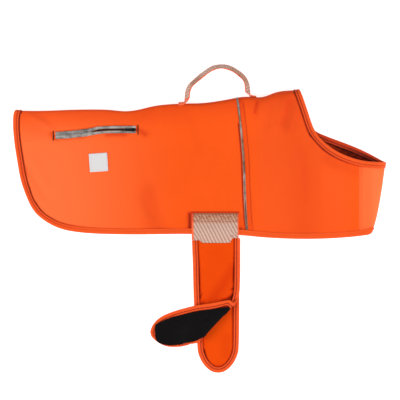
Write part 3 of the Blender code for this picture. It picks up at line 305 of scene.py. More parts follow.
def chosen():
    """The colours and the sizes that the panel holds."""
    return bpy.context.scene.jacket_colours, bpy.context.scene.jacket_sizes


def opaque(colour, share=1.0):
    """A colour for a node's socket, made darker or lighter by a share."""
    return (*(min(1.0, share * v) for v in colour), 1.0)


def period(pitch):
    """Scale of a wave texture whose bands are a pitch apart."""
    return math.pi / 10 / pitch


# Woven and knitted cloths: name, colour, share of it in the darker yarns (none: the shell's own),
# distance between ribs (none: the weave's setting), relief, way of the second ribs, blotch
WOVEN = {
    # interlock bonded to fleece: matt, with a fine knit face and a little sheen
    "shell": (
        ("polyester_interlock_dyed", "shell", None, None, 0.12, "DIAGONAL", 0.5),
        {
            "Roughness": 0.85,
            "Sheen Weight": 0.04,
            "Sheen Roughness": 0.5,
            "Specular IOR Level": 0.18,
        },
    ),
    # brushed fleece on the cloth's inner face: darker, napped and without shine
    "lining": (
        ("polyester_fleece_brushed", "lining", 0.5, 2.4, 0.5, "Y", 0.8),
        {"Roughness": 0.95, "Sheen Weight": 0.1, "Specular IOR Level": 0.15},
    ),
    # the belly strap's cloth, a shade deeper than the body's
    "strap": (
        ("polyester_interlock_strap", "strap", 0.86, None, 0.12, "DIAGONAL", 0.5),
        {"Roughness": 0.85, "Specular IOR Level": 0.08},
    ),
    # grosgrain tape: fine close ribs, a little smoother than the cloth
    "binding": (
        ("polyester_grosgrain_woven", "binding", 0.82, 0.9, 0.1, "Y", 0.7),
        {"Roughness": 0.7, "Sheen Weight": 0.04, "Specular IOR Level": 0.25},
    ),
    # satin weave of a sewn patch: even, off-white and matt
    "patch": (
        ("polyester_patch_damask", "patch", 0.88, 0.8, 0.08, "Y", 0.5),
        {"Roughness": 0.75, "Sheen Weight": 0.05},
    ),
}
THREAD = {"Roughness": 0.6, "Specular IOR Level": 0.2}
# Fine grained materials: name, colour, share of it, size of the grain, relief
PLAIN = {
    # nylon monofilament: smooth and slightly glossy
    "coil": (("nylon_coil_moulded", "coil", 1.0, 2.0, 0.03), {"Roughness": 0.35}),
    # zinc alloy, die cast and plated dark: smooth, with small dull glints
    "gunmetal": (
        ("zinc_die_cast_gunmetal", "gunmetal", 1.0, 1.5, 0.03),
        {"Metallic": 1.0, "Roughness": 0.32},
    ),
    # nylon hooks and brushed loops: black, dull and fuzzy
    "hook": (
        ("nylon_hook_tape_woven", "hook", 1.0, 1.2, 0.4),
        {"Roughness": 0.95, "Specular IOR Level": 0.12},
    ),
    # bonded sewing thread: twisted, with a dull lustre
    "thread": (("polyester_thread_bonded", "thread", 1.0, 0.6, 0.08), THREAD),
    "shell_thread": (("polyester_thread_dyed", "shell", 0.8, 0.6, 0.08), THREAD),
    "dark_thread": (("polyester_thread_dark", "dark_thread", 1.0, 0.6, 0.08), THREAD),
    "patch_thread": (("polyester_thread_white", "patch", 0.8, 0.6, 0.08), THREAD),
}


def woven(look):
    """Woven or knitted cloth: two crossing ribs, slightly uneven yarn, and a soft fibre sheen."""
    colours, sizes = chosen()
    (name, colour, share, pitch, relief, across, blotch), surface = WOVEN[look]
    colour = getattr(colours, colour)
    shade = opaque(colours.shell_shade) if share is None else opaque(colour, share)
    pitch = sizes.weave_pitch if pitch is None else pitch * MM
    made, tree, shader = start_material(name, surface)
    place = add_node(tree, "TexCoord").outputs["Object"]
    rib_values = {"Vector": place, "Scale": period(pitch), "Distortion": 0.6, "Detail": 1.0}
    ribs = [
        add_node(tree, "TexWave", rib_values, bands_direction=way).outputs["Fac"]
        for way in ("X", across)
    ]
    knit = add_node(tree, "Math", {0: ribs[0], 1: ribs[1]}, operation="MULTIPLY").outputs[0]
    fibre = add_node(tree, "TexNoise", {"Vector": place, "Scale": FIBRE, "Detail": 2.0})
    cloud = add_node(tree, "TexNoise", {"Vector": place, "Scale": MOTTLE, "Detail": 3.0})
    faint = add_node(tree, "Math", {0: knit, 1: 0.35}, operation="MULTIPLY").outputs[0]
    mottle = add_node(
        tree,
        "Math",
        {0: cloud.outputs["Fac"], 1: blotch, 2: faint},
        operation="MULTIPLY_ADD",
    ).outputs[0]
    tint = add_node(
        tree, "Mix", {0: mottle, 6: shade, 7: opaque(colour)}, data_type="RGBA", clamp_factor=True
    ).outputs[2]
    height = add_node(
        tree, "Math", {0: fibre.outputs["Fac"], 1: 0.35, 2: knit}, operation="MULTIPLY_ADD"
    ).outputs[0]
    finish(tree, shader, shaded(tree, tint, colour), height, 0.5, relief * MM)
    return made


def finish(tree, shader, tint, height, strength, relief):
    """Gives a shader its colour and its relief."""
    bump = add_node(tree, "Bump", {"Height": height, "Strength": strength, "Distance": relief})
    tree.links.new(tint, shader.inputs["Base Color"])
    tree.links.new(bump.outputs["Normal"], shader.inputs["Normal"])


def shaded(tree, tint, colour):
    """The tint, darkened by the painted shade that a mesh carries as "shade", and paler where it
    carries painted light.

    A shade of 0 leaves the tint as it is, and 1 is the darkest painted shadow in a fold.
    """
    # painted shade: no change at 0, a deep burnt orange at 0.35 and near black at 1
    carried = add_node(tree, "Attribute", attribute_name="shade").outputs["Fac"]
    ramp = add_node(tree, "ValToRGB", {"Fac": carried})
    ramp.color_ramp.elements[0].color = (1.0, 1.0, 1.0, 1.0)
    ramp.color_ramp.elements[1].color = (0.05, 0.03, 0.03, 1.0)
    ramp.color_ramp.elements.new(0.35).color = (0.78, 0.5, 0.3, 1.0)
    # painted light: the tint mixed towards a paler, whiter orange
    fade = add_node(tree, "Attribute", attribute_name="fade").outputs["Fac"]
    pale = tuple(min(1.0, v + more) for v, more in zip(colour, (0.04, 0.062, 0.042)))
    painted_lit_tint = add_node(
        tree, "Mix", {0: fade, 6: tint, 7: opaque(pale)}, data_type="RGBA", clamp_factor=True
    ).outputs[2]
    return add_node(
        tree,
        "Mix",
        {0: 1.0, 6: painted_lit_tint, 7: ramp.outputs["Color"]},
        data_type="RGBA",
        blend_type="MULTIPLY",
    ).outputs[2]


def reflective_tape():
    """Glass beads on woven tape: silver grey, smooth, with a faint crazing of the bead film."""
    grey = chosen()[0].reflective
    made, tree, shader = start_material(
        "glass_bead_reflective_tape", {"Metallic": 0.35, "Roughness": 0.42}
    )
    place = add_node(tree, "TexCoord").outputs["Object"]
    cells = add_node(
        tree, "TexVoronoi", {"Vector": place, "Scale": BEADS}, feature="DISTANCE_TO_EDGE"
    ).outputs["Distance"]
    cloud = add_node(
        tree, "TexNoise", {"Vector": place, "Scale": BEAD_CLOUDS, "Detail": 4.0}
    ).outputs["Fac"]
    patchy = add_node(
        tree, "Math", {0: cloud, 1: 3.0, 2: -1.0}, operation="MULTIPLY_ADD", use_clamp=True
    ).outputs[0]
    dull = opaque(tuple(v * k for v, k in zip(grey, (1.0, 1.06, 1.02))), 0.45)
    bright = opaque(tuple(v * k for v, k in zip(grey, (1.04, 1.0, 1.0))), 1.6)
    tint = add_node(tree, "Mix", {0: patchy, 6: dull, 7: bright}, data_type="RGBA").outputs[2]
    finish(tree, shader, shaded(tree, tint, grey), cells, 0.35, 0.0002)
    return made


def striped_webbing():
    """Jacquard webbing: raised silver stripes slanting over a brown ground, orange selvedges."""
    colours, sizes = chosen()
    made, tree, shader = start_material(
        "polyester_webbing_jacquard", {"Roughness": 0.55, "Sheen Weight": 0.1}
    )
    strip = add_node(tree, "Attribute", attribute_name="strip").outputs["Vector"]
    slant = math.radians(62.0)
    way = Vector((-math.cos(slant), math.sin(slant), 0.0)) / sizes.stripe_pitch
    phase = add_node(
        tree, "VectorMath", {0: strip, 1: way}, operation="DOT_PRODUCT"
    ).outputs["Value"]
    wobble = add_node(tree, "TexNoise", {"Vector": strip, "Scale": WOBBLE, "Detail": 1.0})
    phase = add_node(
        tree, "Math", {0: wobble.outputs["Fac"], 1: 0.3, 2: phase}, operation="MULTIPLY_ADD"
    ).outputs[0]
    turn = add_node(tree, "Math", {0: phase}, operation="FRACT").outputs[0]
    stripe = add_node(tree, "ValToRGB", {"Fac": turn})
    ramp = stripe.color_ramp
    for at, tone in ((0.08, 0.0), (0.2, 1.0), (0.6, 1.0), (0.72, 0.0)):
        ramp.elements.new(at).color = (tone, tone, tone, 1.0)
    ramp.elements[0].color = ramp.elements[-1].color = (0.0, 0.0, 0.0, 1.0)
    edge = add_node(tree, "SeparateXYZ", {0: strip}).outputs["Z"]
    selvedge = add_node(
        tree, "Math", {0: edge, 1: SELVEDGE}, operation="LESS_THAN"
    ).outputs[0]
    fleck = add_node(tree, "TexNoise", {"Vector": strip, "Scale": FLECK, "Detail": 2.0})
    worn = add_node(
        tree, "Math", {0: stripe.outputs["Color"], 1: 0.75, 2: -0.23}, operation="MULTIPLY_ADD"
    ).outputs[0]
    mixed = add_node(
        tree,
        "Math",
        {0: fleck.outputs["Fac"], 1: 0.7, 2: worn},
        operation="MULTIPLY_ADD",
        use_clamp=True,
    ).outputs[0]
    ground, silver = opaque(colours.webbing), opaque(colours.silver)
    body = add_node(tree, "Mix", {0: mixed, 6: ground, 7: silver}, data_type="RGBA").outputs[2]
    tint = add_node(
        tree, "Mix", {0: selvedge, 6: body, 7: opaque(colours.selvedge)}, data_type="RGBA"
    ).outputs[2]
    rib = add_node(
        tree, "TexWave", {"Vector": strip, "Scale": period(RIB_PITCH)}, bands_direction="X"
    ).outputs["Fac"]
    warp = add_node(
        tree, "TexWave", {"Vector": strip, "Scale": period(WARP_PITCH)}, bands_direction="Y"
    ).outputs["Fac"]
    cross = add_node(tree, "Math", {0: rib, 1: warp}, operation="MULTIPLY").outputs[0]
    height = add_node(
        tree, "Math", {0: stripe.outputs["Color"], 1: 0.8, 2: cross}, operation="MULTIPLY_ADD"
    ).outputs[0]
    finish(tree, shader, shaded(tree, tint, colours.webbing), height, 0.6, 0.00025)
    return made


def plain(look):
    """Fine grained material: a noise that varies the colour a little and gives a faint relief."""
    (name, colour, share, pitch, relief), surface = PLAIN[look]
    colour = getattr(chosen()[0], colour)
    made, tree, shader = start_material(name, surface)
    place = add_node(tree, "TexCoord").outputs["Object"]
    grain = add_node(
        tree, "TexNoise", {"Vector": place, "Scale": 1.0 / (pitch * MM), "Detail": 3.0}
    ).outputs["Fac"]
    dark, light = opaque(colour, 0.75 * share), opaque(colour, 1.2 * share)
    tint = add_node(tree, "Mix", {0: grain, 6: dark, 7: light}, data_type="RGBA").outputs[2]
    finish(tree, shader, tint, grain, 0.5, relief * MM)
    return made


_made = {}


def material(look):
    """The material of a look, made when it is first asked for."""
    if look not in _made:
        if look in WOVEN:
            _made[look] = woven(look)
        elif look in PLAIN:
            _made[look] = plain(look)
        else:
            _made[look] = {"reflective": reflective_tape, "webbing": striped_webbing}[look]()
    return _made[look]


# ---------------------------------------------------------------- meshes


def cad_mesh(node):
    """A CAD node's mesh, welded, its triangles joined to quads. Its own mesh isn't touched."""
    bm = bmesh.new()
    bm.from_mesh(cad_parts[node].data)
    bmesh.ops.remove_doubles(bm, verts=bm.verts, dist=WELD)
    bmesh.ops.join_triangles(
        bm,
        faces=bm.faces,
        angle_face_threshold=math.radians(50),
        angle_shape_threshold=math.radians(120),
    )
    for layer in list(bm.loops.layers.uv):
        bm.loops.layers.uv.remove(layer)
    return bm


def finer(bm, levels, crease, values=None):
    """The points and faces of a mesh after subdivision, and the values carried by its points."""
    sharp = bm.edges.layers.float.get("crease_edge") or bm.edges.layers.float.new("crease_edge")
    for edge in bm.edges:
        if edge.calc_face_angle(0.0) > math.radians(50):
            edge[sharp] = crease
    mesh = bpy.data.meshes.new("control")
    bm.to_mesh(mesh)
    if values is not None:
        layer = mesh.attributes.new("carried", "FLOAT_VECTOR", "POINT")
        layer.data.foreach_set("vector", np.asarray(values, np.float32).ravel())
    holder = bpy.data.objects.new("control", mesh)
    bpy.context.scene.collection.objects.link(holder)
    holder.modifiers.new("finer", "SUBSURF").levels = levels
    graph = bpy.context.evaluated_depsgraph_get()
    fine = bpy.data.meshes.new_from_object(holder.evaluated_get(graph))
    points = read(fine.vertices, "co")
    faces = np.array([tuple(item.vertices) for item in fine.polygons], int)
    carried = None if values is None else read(fine.attributes["carried"].data, "vector")
    bpy.data.objects.remove(holder)
    for used in (fine, mesh):
        bpy.data.meshes.remove(used)
    return points, faces, carried


def fine_form(node, levels, crease):
    """A CAD node's fine points in mm, its faces, and the normals at its points."""
    points, faces, _ = finer(cad_mesh(node), levels, crease)
    points /= MM
    return points, faces, normals(points, faces)


def read(items, name):
    """A vector of each item of a collection, as rows of numbers."""
    found = np.zeros(len(items) * 3, np.float32)
    items.foreach_get(name, found)
    return found.astype(float).reshape(-1, 3)


def unit(vectors):
    return vectors / np.maximum(np.linalg.norm(vectors, axis=-1, keepdims=True), 1e-12)


def face_normals(points, faces):
    """Each quad's normal, twice as long as its area."""
    a, b, c, d = (points[faces[:, k]] for k in range(4))
    return np.cross(c - a, d - b)


def normals(points, faces):
    """Normals at the points of a mesh of quads."""
    face = face_normals(points, faces)
    total = np.zeros_like(points)
    for k in range(4):
        np.add.at(total, faces[:, k], face)
    return unit(total)


def piece(name, points, faces, looks, node="", slot="", number=None, smooth=40.0, **carried):
    """Makes a mesh object that rides on the jacket, in place of a CAD node where one is named.

    `number` is each face's place among the looks. A value or a vector is carried at each point.
    """
    mesh = bpy.data.meshes.new(name)
    mesh.from_pydata(np.asarray(points, float).tolist(), [], np.asarray(faces).tolist())
    for look in looks:
        mesh.materials.append(material(look))
    if number is not None:
        mesh.polygons.foreach_set("material_index", np.asarray(number, np.int32))
    for key, values in carried.items():
        if np.ndim(values) == 1:
            layer, field = mesh.attributes.new(key, "FLOAT", "POINT"), "value"
            values = np.clip(values, 0, 1)
        else:
            layer, field = mesh.attributes.new(key, "FLOAT_VECTOR", "POINT"), "vector"
        layer.data.foreach_set(field, np.asarray(values, np.float32).ravel())
    mesh.shade_smooth()
    mesh.set_sharp_from_angle(angle=math.radians(smooth))
    made = bpy.data.objects.new(name, mesh)
    bpy.context.scene.collection.objects.link(made)
    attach(made, "jacket")
    if node:
        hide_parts(node)
    return made


def distance(places, line):
    """Each place's plan distance from a chain of points, and its share and place along it."""
    line = np.asarray(line, float)
    start, step = line[:-1], np.diff(line, axis=0)
    size = (step * step).sum(-1)
    flat = places[:, None, :2]
    t = np.clip(((flat - start) * step).sum(-1) / size, 0, 1)
    away = np.linalg.norm(flat - (start + t[..., None] * step), axis=-1)
    nearest = away.argmin(axis=1)
    rows = np.arange(len(places))
    before = np.concatenate([[0.0], np.cumsum(np.sqrt(size))])
    along_it = before[nearest] + t[rows, nearest] * np.sqrt(size)[nearest]
    return away[rows, nearest], along_it / before[-1], along_it


def bell(away, half):
    """1 at a line, falling softly to either side of it."""
    return np.exp(-((away / half) ** 2))


def beside(places, line, half):
    """1 on a chain of points, falling softly beside it."""
    return bell(distance(places, line)[0], half)


def smoothstep(value, low, high):
    """0 up to the low value and 1 from the high one, with a soft rise between them."""
    t = np.clip((value - low) / (high - low), 0, 1)
    return t * t * (3 - 2 * t)


def soft_shade(points, *names):
    """The soft shade that the named rows of SHADES lay at each point."""
    total = np.zeros(len(points))
    for name in names:
        for half, strength, *line in SHADES[name]:
            total += strength * beside(points, line, half)
    return total


def edge_shade(points, kind):
    """How dark the painted shadow line beside a binding is at each place."""
    at, strength = np.array(EDGE_SHADE[kind]).T
    return np.interp(points[:, 0], at, strength)


def tree_of(points, faces):
    return BVHTree.FromPolygons([tuple(p) for p in points], [tuple(map(int, f)) for f in faces])


def node_tree(*nodes):
    """A search tree over CAD nodes."""
    points, faces = [], []
    for node in nodes:
        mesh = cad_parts[node].data
        first = len(points)
        points += [tuple(v.co) for v in mesh.vertices]
        faces += [tuple(first + i for i in p.vertices) for p in mesh.polygons]
    return BVHTree.FromPolygons(points, faces)


def made_tree(name):
    """A search tree over a piece that is already made."""
    graph = bpy.context.evaluated_depsgraph_get()
    return BVHTree.FromObject(bpy.data.objects[name], graph)


def gaps(tree, places):
    """The distance in mm of each place from what a tree holds."""
    return np.array([tree.find_nearest(Vector(p))[3] for p in places]) / MM


def along(line, step):
    """Points a step apart along a chain of points, in metres for a chain in millimetres."""
    line = np.asarray(line, float) * MM
    sizes = np.linalg.norm(np.diff(line, axis=0), axis=1)
    before = np.concatenate([[0.0], np.cumsum(sizes)])
    at = np.arange(0.0, before[-1] + 1e-9, step)
    return np.column_stack([np.interp(at, before, line[:, k]) for k in range(line.shape[1])])


def smooth_line(line, count=60):
    """A rounder chain through the same points."""
    line = np.asarray(line, float)
    steps = np.linalg.norm(np.diff(line, axis=0), axis=1)
    at = np.concatenate([[0.0], np.cumsum(steps)]) / steps.sum()
    slope = np.gradient(line, at, axis=0)
    t = np.linspace(0, 1, count)
    left = np.clip(np.searchsorted(at, t, side="right") - 1, 0, len(at) - 2)
    span = (at[left + 1] - at[left])[:, None]
    s = (t[:, None] - at[left][:, None]) / span
    return (
        (2 * s**3 - 3 * s**2 + 1) * line[left]
        + (s**3 - 2 * s**2 + s) * span * slope[left]
        + (3 * s**2 - 2 * s**3) * line[left + 1]
        + (s**3 - s**2) * span * slope[left + 1]
    )


def laid_on(tree, line, side="upper", step=0.0005):
    """A plan line laid on what a tree holds: points and normals, seen from above or below."""
    down = Vector((0, 0, -1 if side == "upper" else 1))
    points, ups = [], []
    for x, y in along(line, step):
        hit, normal, _, _ = tree.ray_cast(Vector((x, y, -0.2 * down.z)), down)
        if hit is not None:
            points.append(tuple(hit))
            ups.append(tuple(normal if normal.dot(down) < 0 else -normal))
    return np.array(points), np.array(ups)


def tube(path, square, radius, sides):
    """Rings of points round a path. `square` is a direction square to it."""
    angles = np.arange(sides)[:, None, None] * 2 * math.pi / sides
    other = np.cross(unit(np.gradient(path, axis=0)), square)
    rings = path + radius * (np.cos(angles) * square + np.sin(angles) * other)
    return rings.transpose(1, 0, 2).reshape(-1, 3)


def tube_faces(rings, sides):
    """The quads between a tube's rings of points."""
    ring = np.arange(sides)
    quad = np.column_stack([ring, (ring + 1) % sides, sides + (ring + 1) % sides, sides + ring])
    return np.vstack([quad + sides * k for k in range(rings - 1)])


def copies(template, quads, places):
    """One mesh of many copies of a template, each at a spot and turned to three directions."""
    points = [spot + template @ np.stack(ways) for spot, *ways in places]
    faces = [quads + len(template) * i for i in range(len(points))]
    return np.vstack(points), np.vstack(faces)


def sew(name, lines, look, length=None, gap=None, width=None):
    """A row of stitches along each line, all in one mesh. Each stitch dips at its ends."""
    sizes = chosen()[1]
    length = length or sizes.stitch_length
    pitch = length + (gap or sizes.stitch_gap)
    radius = 0.5 * (width or sizes.thread_width)
    template = np.array(
        [
            (at * length, size * radius * math.cos(a), radius * (rise + size * math.sin(a)))
            for at, size, rise in STITCH
            for a in np.radians(np.arange(6) * 60.0)
        ]
    )
    ends = [(3, 2, 1, 0), (5, 4, 3, 0), (18, 19, 20, 21), (18, 21, 22, 23)]
    places = []
    for path, ups in lines:
        if len(path) < 4:
            continue
        steps = np.linalg.norm(np.diff(path, axis=0), axis=1)
        at = np.concatenate([[0.0], np.cumsum(steps)])
        count = int(at[-1] / pitch)
        middles = (np.arange(count) + 0.5) * at[-1] / max(count, 1)

        def read_at(values, where):
            return np.column_stack([np.interp(where, at, values[:, k]) for k in range(3)])

        ahead = unit(
            read_at(path, np.minimum(middles + 0.4 * length, at[-1]))
            - read_at(path, np.maximum(middles - 0.4 * length, 0))
        )
        side = unit(np.cross(unit(read_at(ups, middles)), ahead))
        places += zip(read_at(path, middles), ahead, side, np.cross(ahead, side))
    points, faces = copies(template, np.vstack([tube_faces(len(STITCH), 6), ends]), places)
    points[:, 2] = np.maximum(points[:, 2], LOWEST)
    return piece(name, points, faces, [look])


# ---------------------------------------------------------------- cloth


def cloth(node):
    """A panel of the body as a thin shell on its CAD form, with creases, seams and a lining."""
    points, faces, up = fine_form(node, 3, 0.95)
    upper = smoothstep(points[:, 2], *SIDES_PART)
    outer = np.where(upper > 0.5, smoothstep(up[:, 2], 0.2, 0.5), smoothstep(-up[:, 2], 0.2, 0.5))
    lift = np.zeros(len(points))
    for side, weight in (("upper", upper), ("under", 1 - upper)):
        for half, rise, *line in CREASES[side]:
            away, share, _ = distance(points, line)
            ends = 0.55 + 0.45 * np.sin(np.pi * (0.15 + 0.7 * share))
            lift += rise * weight * bell(away, half) * ends
    points[:, 2] += lift
    relief = ZIP_HOLLOW[0] * upper * beside(points, ZIP_LINE, ZIP_HOLLOW[1])
    for line, rise, off, half in SEWN_RELIEF:
        relief += rise * bell(distance(points, line)[0] - off, half)
    # painted shade in the troughs of the creases
    shade = outer * 0.03 * np.clip(-lift, 0, 2)
    # the cloth sinks beside each binding, and a line of painted shadow lies there
    for kind in ("hem", "neck"):
        near = gaps(node_tree(kind + "_binding"), points * MM)
        edge = edge_shade(points, kind)
        relief -= (0.2 + 0.45 * edge) * bell(near, BOUND_HALF)
        shade += edge * bell(np.maximum(near - 0.5, 0), 1.5)
    # the two edges of a chest seam meet
    seam = np.interp(points[:, 1], *CHEST_EDGES)
    way = -1 if node == "chest_panel" else 1
    points[:, 0] += 0.16 * way * bell(points[:, 0] - seam + 0.5 * CHEST_GAP * way, 0.5)
    # painted shade and painted light on the panel's colour
    tone, fade = painted_shade_and_light(points, node, upper, outer)
    points += (relief * outer)[:, None] * up
    lined = lining_faces(points, faces, up, outer)
    points[:, 2] = np.maximum(points[:, 2], 0.0)
    return piece(
        node.replace("panel", "cloth"), points * MM, faces, ["shell", "lining"],
        node, "soft_shell", number=lined, smooth=60.0, shade=shade + tone, fade=fade,
    )


def painted_shade_and_light(points, node, upper, outer):
    """How deep the painted shade and how pale the painted light make a panel's colour at each
    point, beside the edges' own painted shadow.
    """
    x, y, _ = points.T
    # straps and handle lie beside or under the far side, which they shade a little
    shade = upper * soft_shade(points, "upper")
    shade += (1 - upper) * soft_shade(points, "near", "far", "handle")
    # painted shade in the topstitching's groove and along the back, where the cloth turns down to
    # the fold
    shade += 0.25 * beside(points, TOPSTITCH, 1.3)
    spine = np.interp(x, *np.array(SPINE).T) - y
    shade += 0.16 * bell(spine, 26.0)
    # painted shade and a little painted light over the front panel
    front = smoothstep(x, 84, 130) * (1 - smoothstep(x, 250, 290))
    shade = outer * (shade + 0.075 * upper * front)
    # painted shadow: inside the chest opening it is dark
    within = (1 - outer) * (1 - upper) * smoothstep(x, 222, 262)
    shade += 0.8 * within * (0.8 + 0.2 * np.sin(x * 0.31) * np.sin(y * 0.5))
    # painted light: a pale sheen over the tail half, fainter near the spine, and over the chest
    # panel with a brighter band
    fade = 0.75 * smoothstep(-x, 20, 270) * (1 - 0.8 * bell(spine, 45.0)) + 0.1 * front
    if node == "chest_panel":
        fade = 0.6 + 0.3 * bell(x - 314, 13.0)
    return shade, outer * (fade * upper + 0.2 * (1 - upper))


def lining_faces(points, faces, up, outer):
    """Which faces are lining: the inner ones, and round a fold those that face more cloth."""
    tree = tree_of(points * MM, faces)
    lined = outer[faces].mean(axis=1) <= 0.5
    middle, way = points[faces].mean(axis=1), up[faces].mean(axis=1)
    for i in np.nonzero(np.abs(way[:, 2]) < 0.75)[0]:
        out = unit(way[i])
        start = (middle[i] + 0.05 * out) * MM
        lined[i] = tree.ray_cast(Vector(start), Vector(out), 0.5)[0] is not None
    return lined


def binding(node, panels, kind):
    """Tape folded round an edge: a soft roll, a sewn groove and a ridge on each face.

    Gives the tape, and the lines that its stitches run along.
    """
    bm = cad_mesh(node)
    away = gaps(node_tree(*panels), [v.co for v in bm.verts])
    # out at the fold 2.3 mm, at a leg's outer end 1.4, at the fold's inside 0.9, inner end 0.4
    outside = away > 1.15
    across = np.where(outside, away < 1.85, away < 0.62)
    carried = np.column_stack([across, outside, away * 0]).astype(float)
    points, faces, carried = finer(bm, 3, 0.55, carried)
    across, outside = carried[:, 0], carried[:, 1]
    up = normals(points, faces)
    face = smoothstep(outside, 0.8, 0.99)
    relief = -0.3 * smoothstep(across, 0.94, 1.0)
    for at, half, rise in BINDING_RELIEF:
        relief += rise * bell(across - at, half)
    relief *= 0.5 + 0.5 * np.clip(1.5 * edge_shade(points / MM, kind), 0, 1)
    points += (relief * face * MM)[:, None] * up
    points[:, 2] = np.maximum(points[:, 2], LOWEST)
    if node == "near_strap_binding":
        points = strap_end(points / MM) * MM
    # painted shade in the sewn groove and a painted shadow line at the tape's inner end
    groove = 0.9 * bell(across - 0.62, 0.09) + 0.9 * smoothstep(across, 0.88, 1)
    shade = face * edge_shade(points / MM, kind) * groove
    if kind == "neck":
        # the far side lies deep in the neck opening, where painted shade darkens it
        deep = (1 - smoothstep(points[:, 2] / MM, 12, 18)) * smoothstep(up[:, 2], -0.2, 0.3)
        front = smoothstep(points[:, 0] / MM, 235, 310)
        shade += deep * (0.25 + 0.5 * front * smoothstep(across, 0.2, 0.6))
    made = piece(
        node.replace("binding", "tape"), points, faces, ["binding"],
        node, "binding_tape", smooth=70.0, shade=shade,
    )
    return made, level_lines(points, faces, across, outside, BINDING_SEWN)


def level_lines(points, faces, value, mask, level):
    """Chains of points and normals where a value carried by a mesh passes a level."""
    up = normals(points, faces)
    links, spots = {}, {}
    for face in faces[(mask[faces] > 0.985).all(axis=1)]:
        cuts = []
        for k in range(4):
            a, b = int(face[k]), int(face[(k + 1) % 4])
            if (value[a] - level) * (value[b] - level) < 0:
                key = (min(a, b), max(a, b))
                t = (level - value[a]) / (value[b] - value[a])
                spots[key] = (points[a] + t * (points[b] - points[a]), up[a] + t * (up[b] - up[a]))
                cuts.append(key)
        if len(cuts) == 2:
            links.setdefault(cuts[0], []).append(cuts[1])
            links.setdefault(cuts[1], []).append(cuts[0])
    chains, used = [], set()
    for here in sorted(links, key=lambda key: len(links[key])):
        chain = []
        while here is not None and here not in used:
            used.add(here)
            chain.append(here)
            here = next((key for key in links[here] if key not in used), None)
        if len(chain) > 8:
            chains.append(tuple(np.array([spots[key][i] for key in chain]) for i in range(2)))
    return chains


def strap_end(points):
    """Draws the near strap's sewn end and the webbing's low edge up at both corners, in mm."""
    x, y, z = points.T
    rise = 3.6 * (1 - smoothstep(x, 0.5, 3.0)) + 7.2 * smoothstep(x, 56.0, 58.5)
    rise -= 1.4 * smoothstep(x, 0, 8) * (1 - smoothstep(x, 50, 58))
    near = np.where(y < STRAP_SEAM_Y, smoothstep(y, -62, -43), 1 - smoothstep(y, -42, -22))
    drawn = points.copy()
    drawn[:, 1] += rise * near * (z > 4.5)
    return drawn


# ---------------------------------------------------------------- operators


class JacketOperator(bpy.types.Operator):
    """A step that makes a part of the jacket"""

    bl_options = {"REGISTER", "UNDO"}


class JACKET_OT_body(JacketOperator):
    """Cut and lay the body: back, front and chest, with their edges bound"""

    bl_idname = "jacket.body"
    bl_label = "Body"

    def execute(self, context):
        panels = ("back_panel", "front_panel", "chest_panel")
        parts = [cloth(node) for node in panels]
        hem, hem_lines = binding("hem_binding", panels, "hem")
        neck, neck_lines = binding("neck_binding", panels[1:], "neck")
        hem_row = sew("hem_stitches", hem_lines, "shell_thread")
        neck_row = sew("neck_stitches", neck_lines, "thread")
        piping, front_row, chest_row = self.sew_seams()
        return {"FINISHED"}

    def sew_seams(self):
        """Reflective piping, the topstitching beside it and beside the chest seams."""
        points, faces, _ = fine_form("seam_piping", 2, 0.6)
        y = points[:, 1]
        # painted shade on the piping: uneven along it, darker towards the bottom and none at the
        # top
        shade = 0.3 + 0.25 * np.sin(y * 0.11) * np.sin(y * 0.043 + 1)
        shade += 0.25 * smoothstep(-y, -60, 20)
        shade *= 1 - smoothstep(y, 175, 200)
        piping = piece(
            "piping", points * MM, faces, ["reflective"],
            "seam_piping", "reflective_tape", shade=shade,
        )
        front, chest = made_tree("front_cloth"), made_tree("chest_cloth")
        seam = smooth_line(TOPSTITCH)[4:-1]
        chest_seam = np.array(CHEST_SEAM) + [(5.0, 12.0), (5.0, -10.0)]
        rows = [laid_on(front, seam, side) for side in ("upper", "under")]
        chest_rows = [laid_on(chest, chest_seam, side) for side in ("upper", "under")]
        return (
            piping,
            sew("body_topstitch", rows, "thread"),
            sew("chest_topstitch", chest_rows, "shell_thread"),
        )


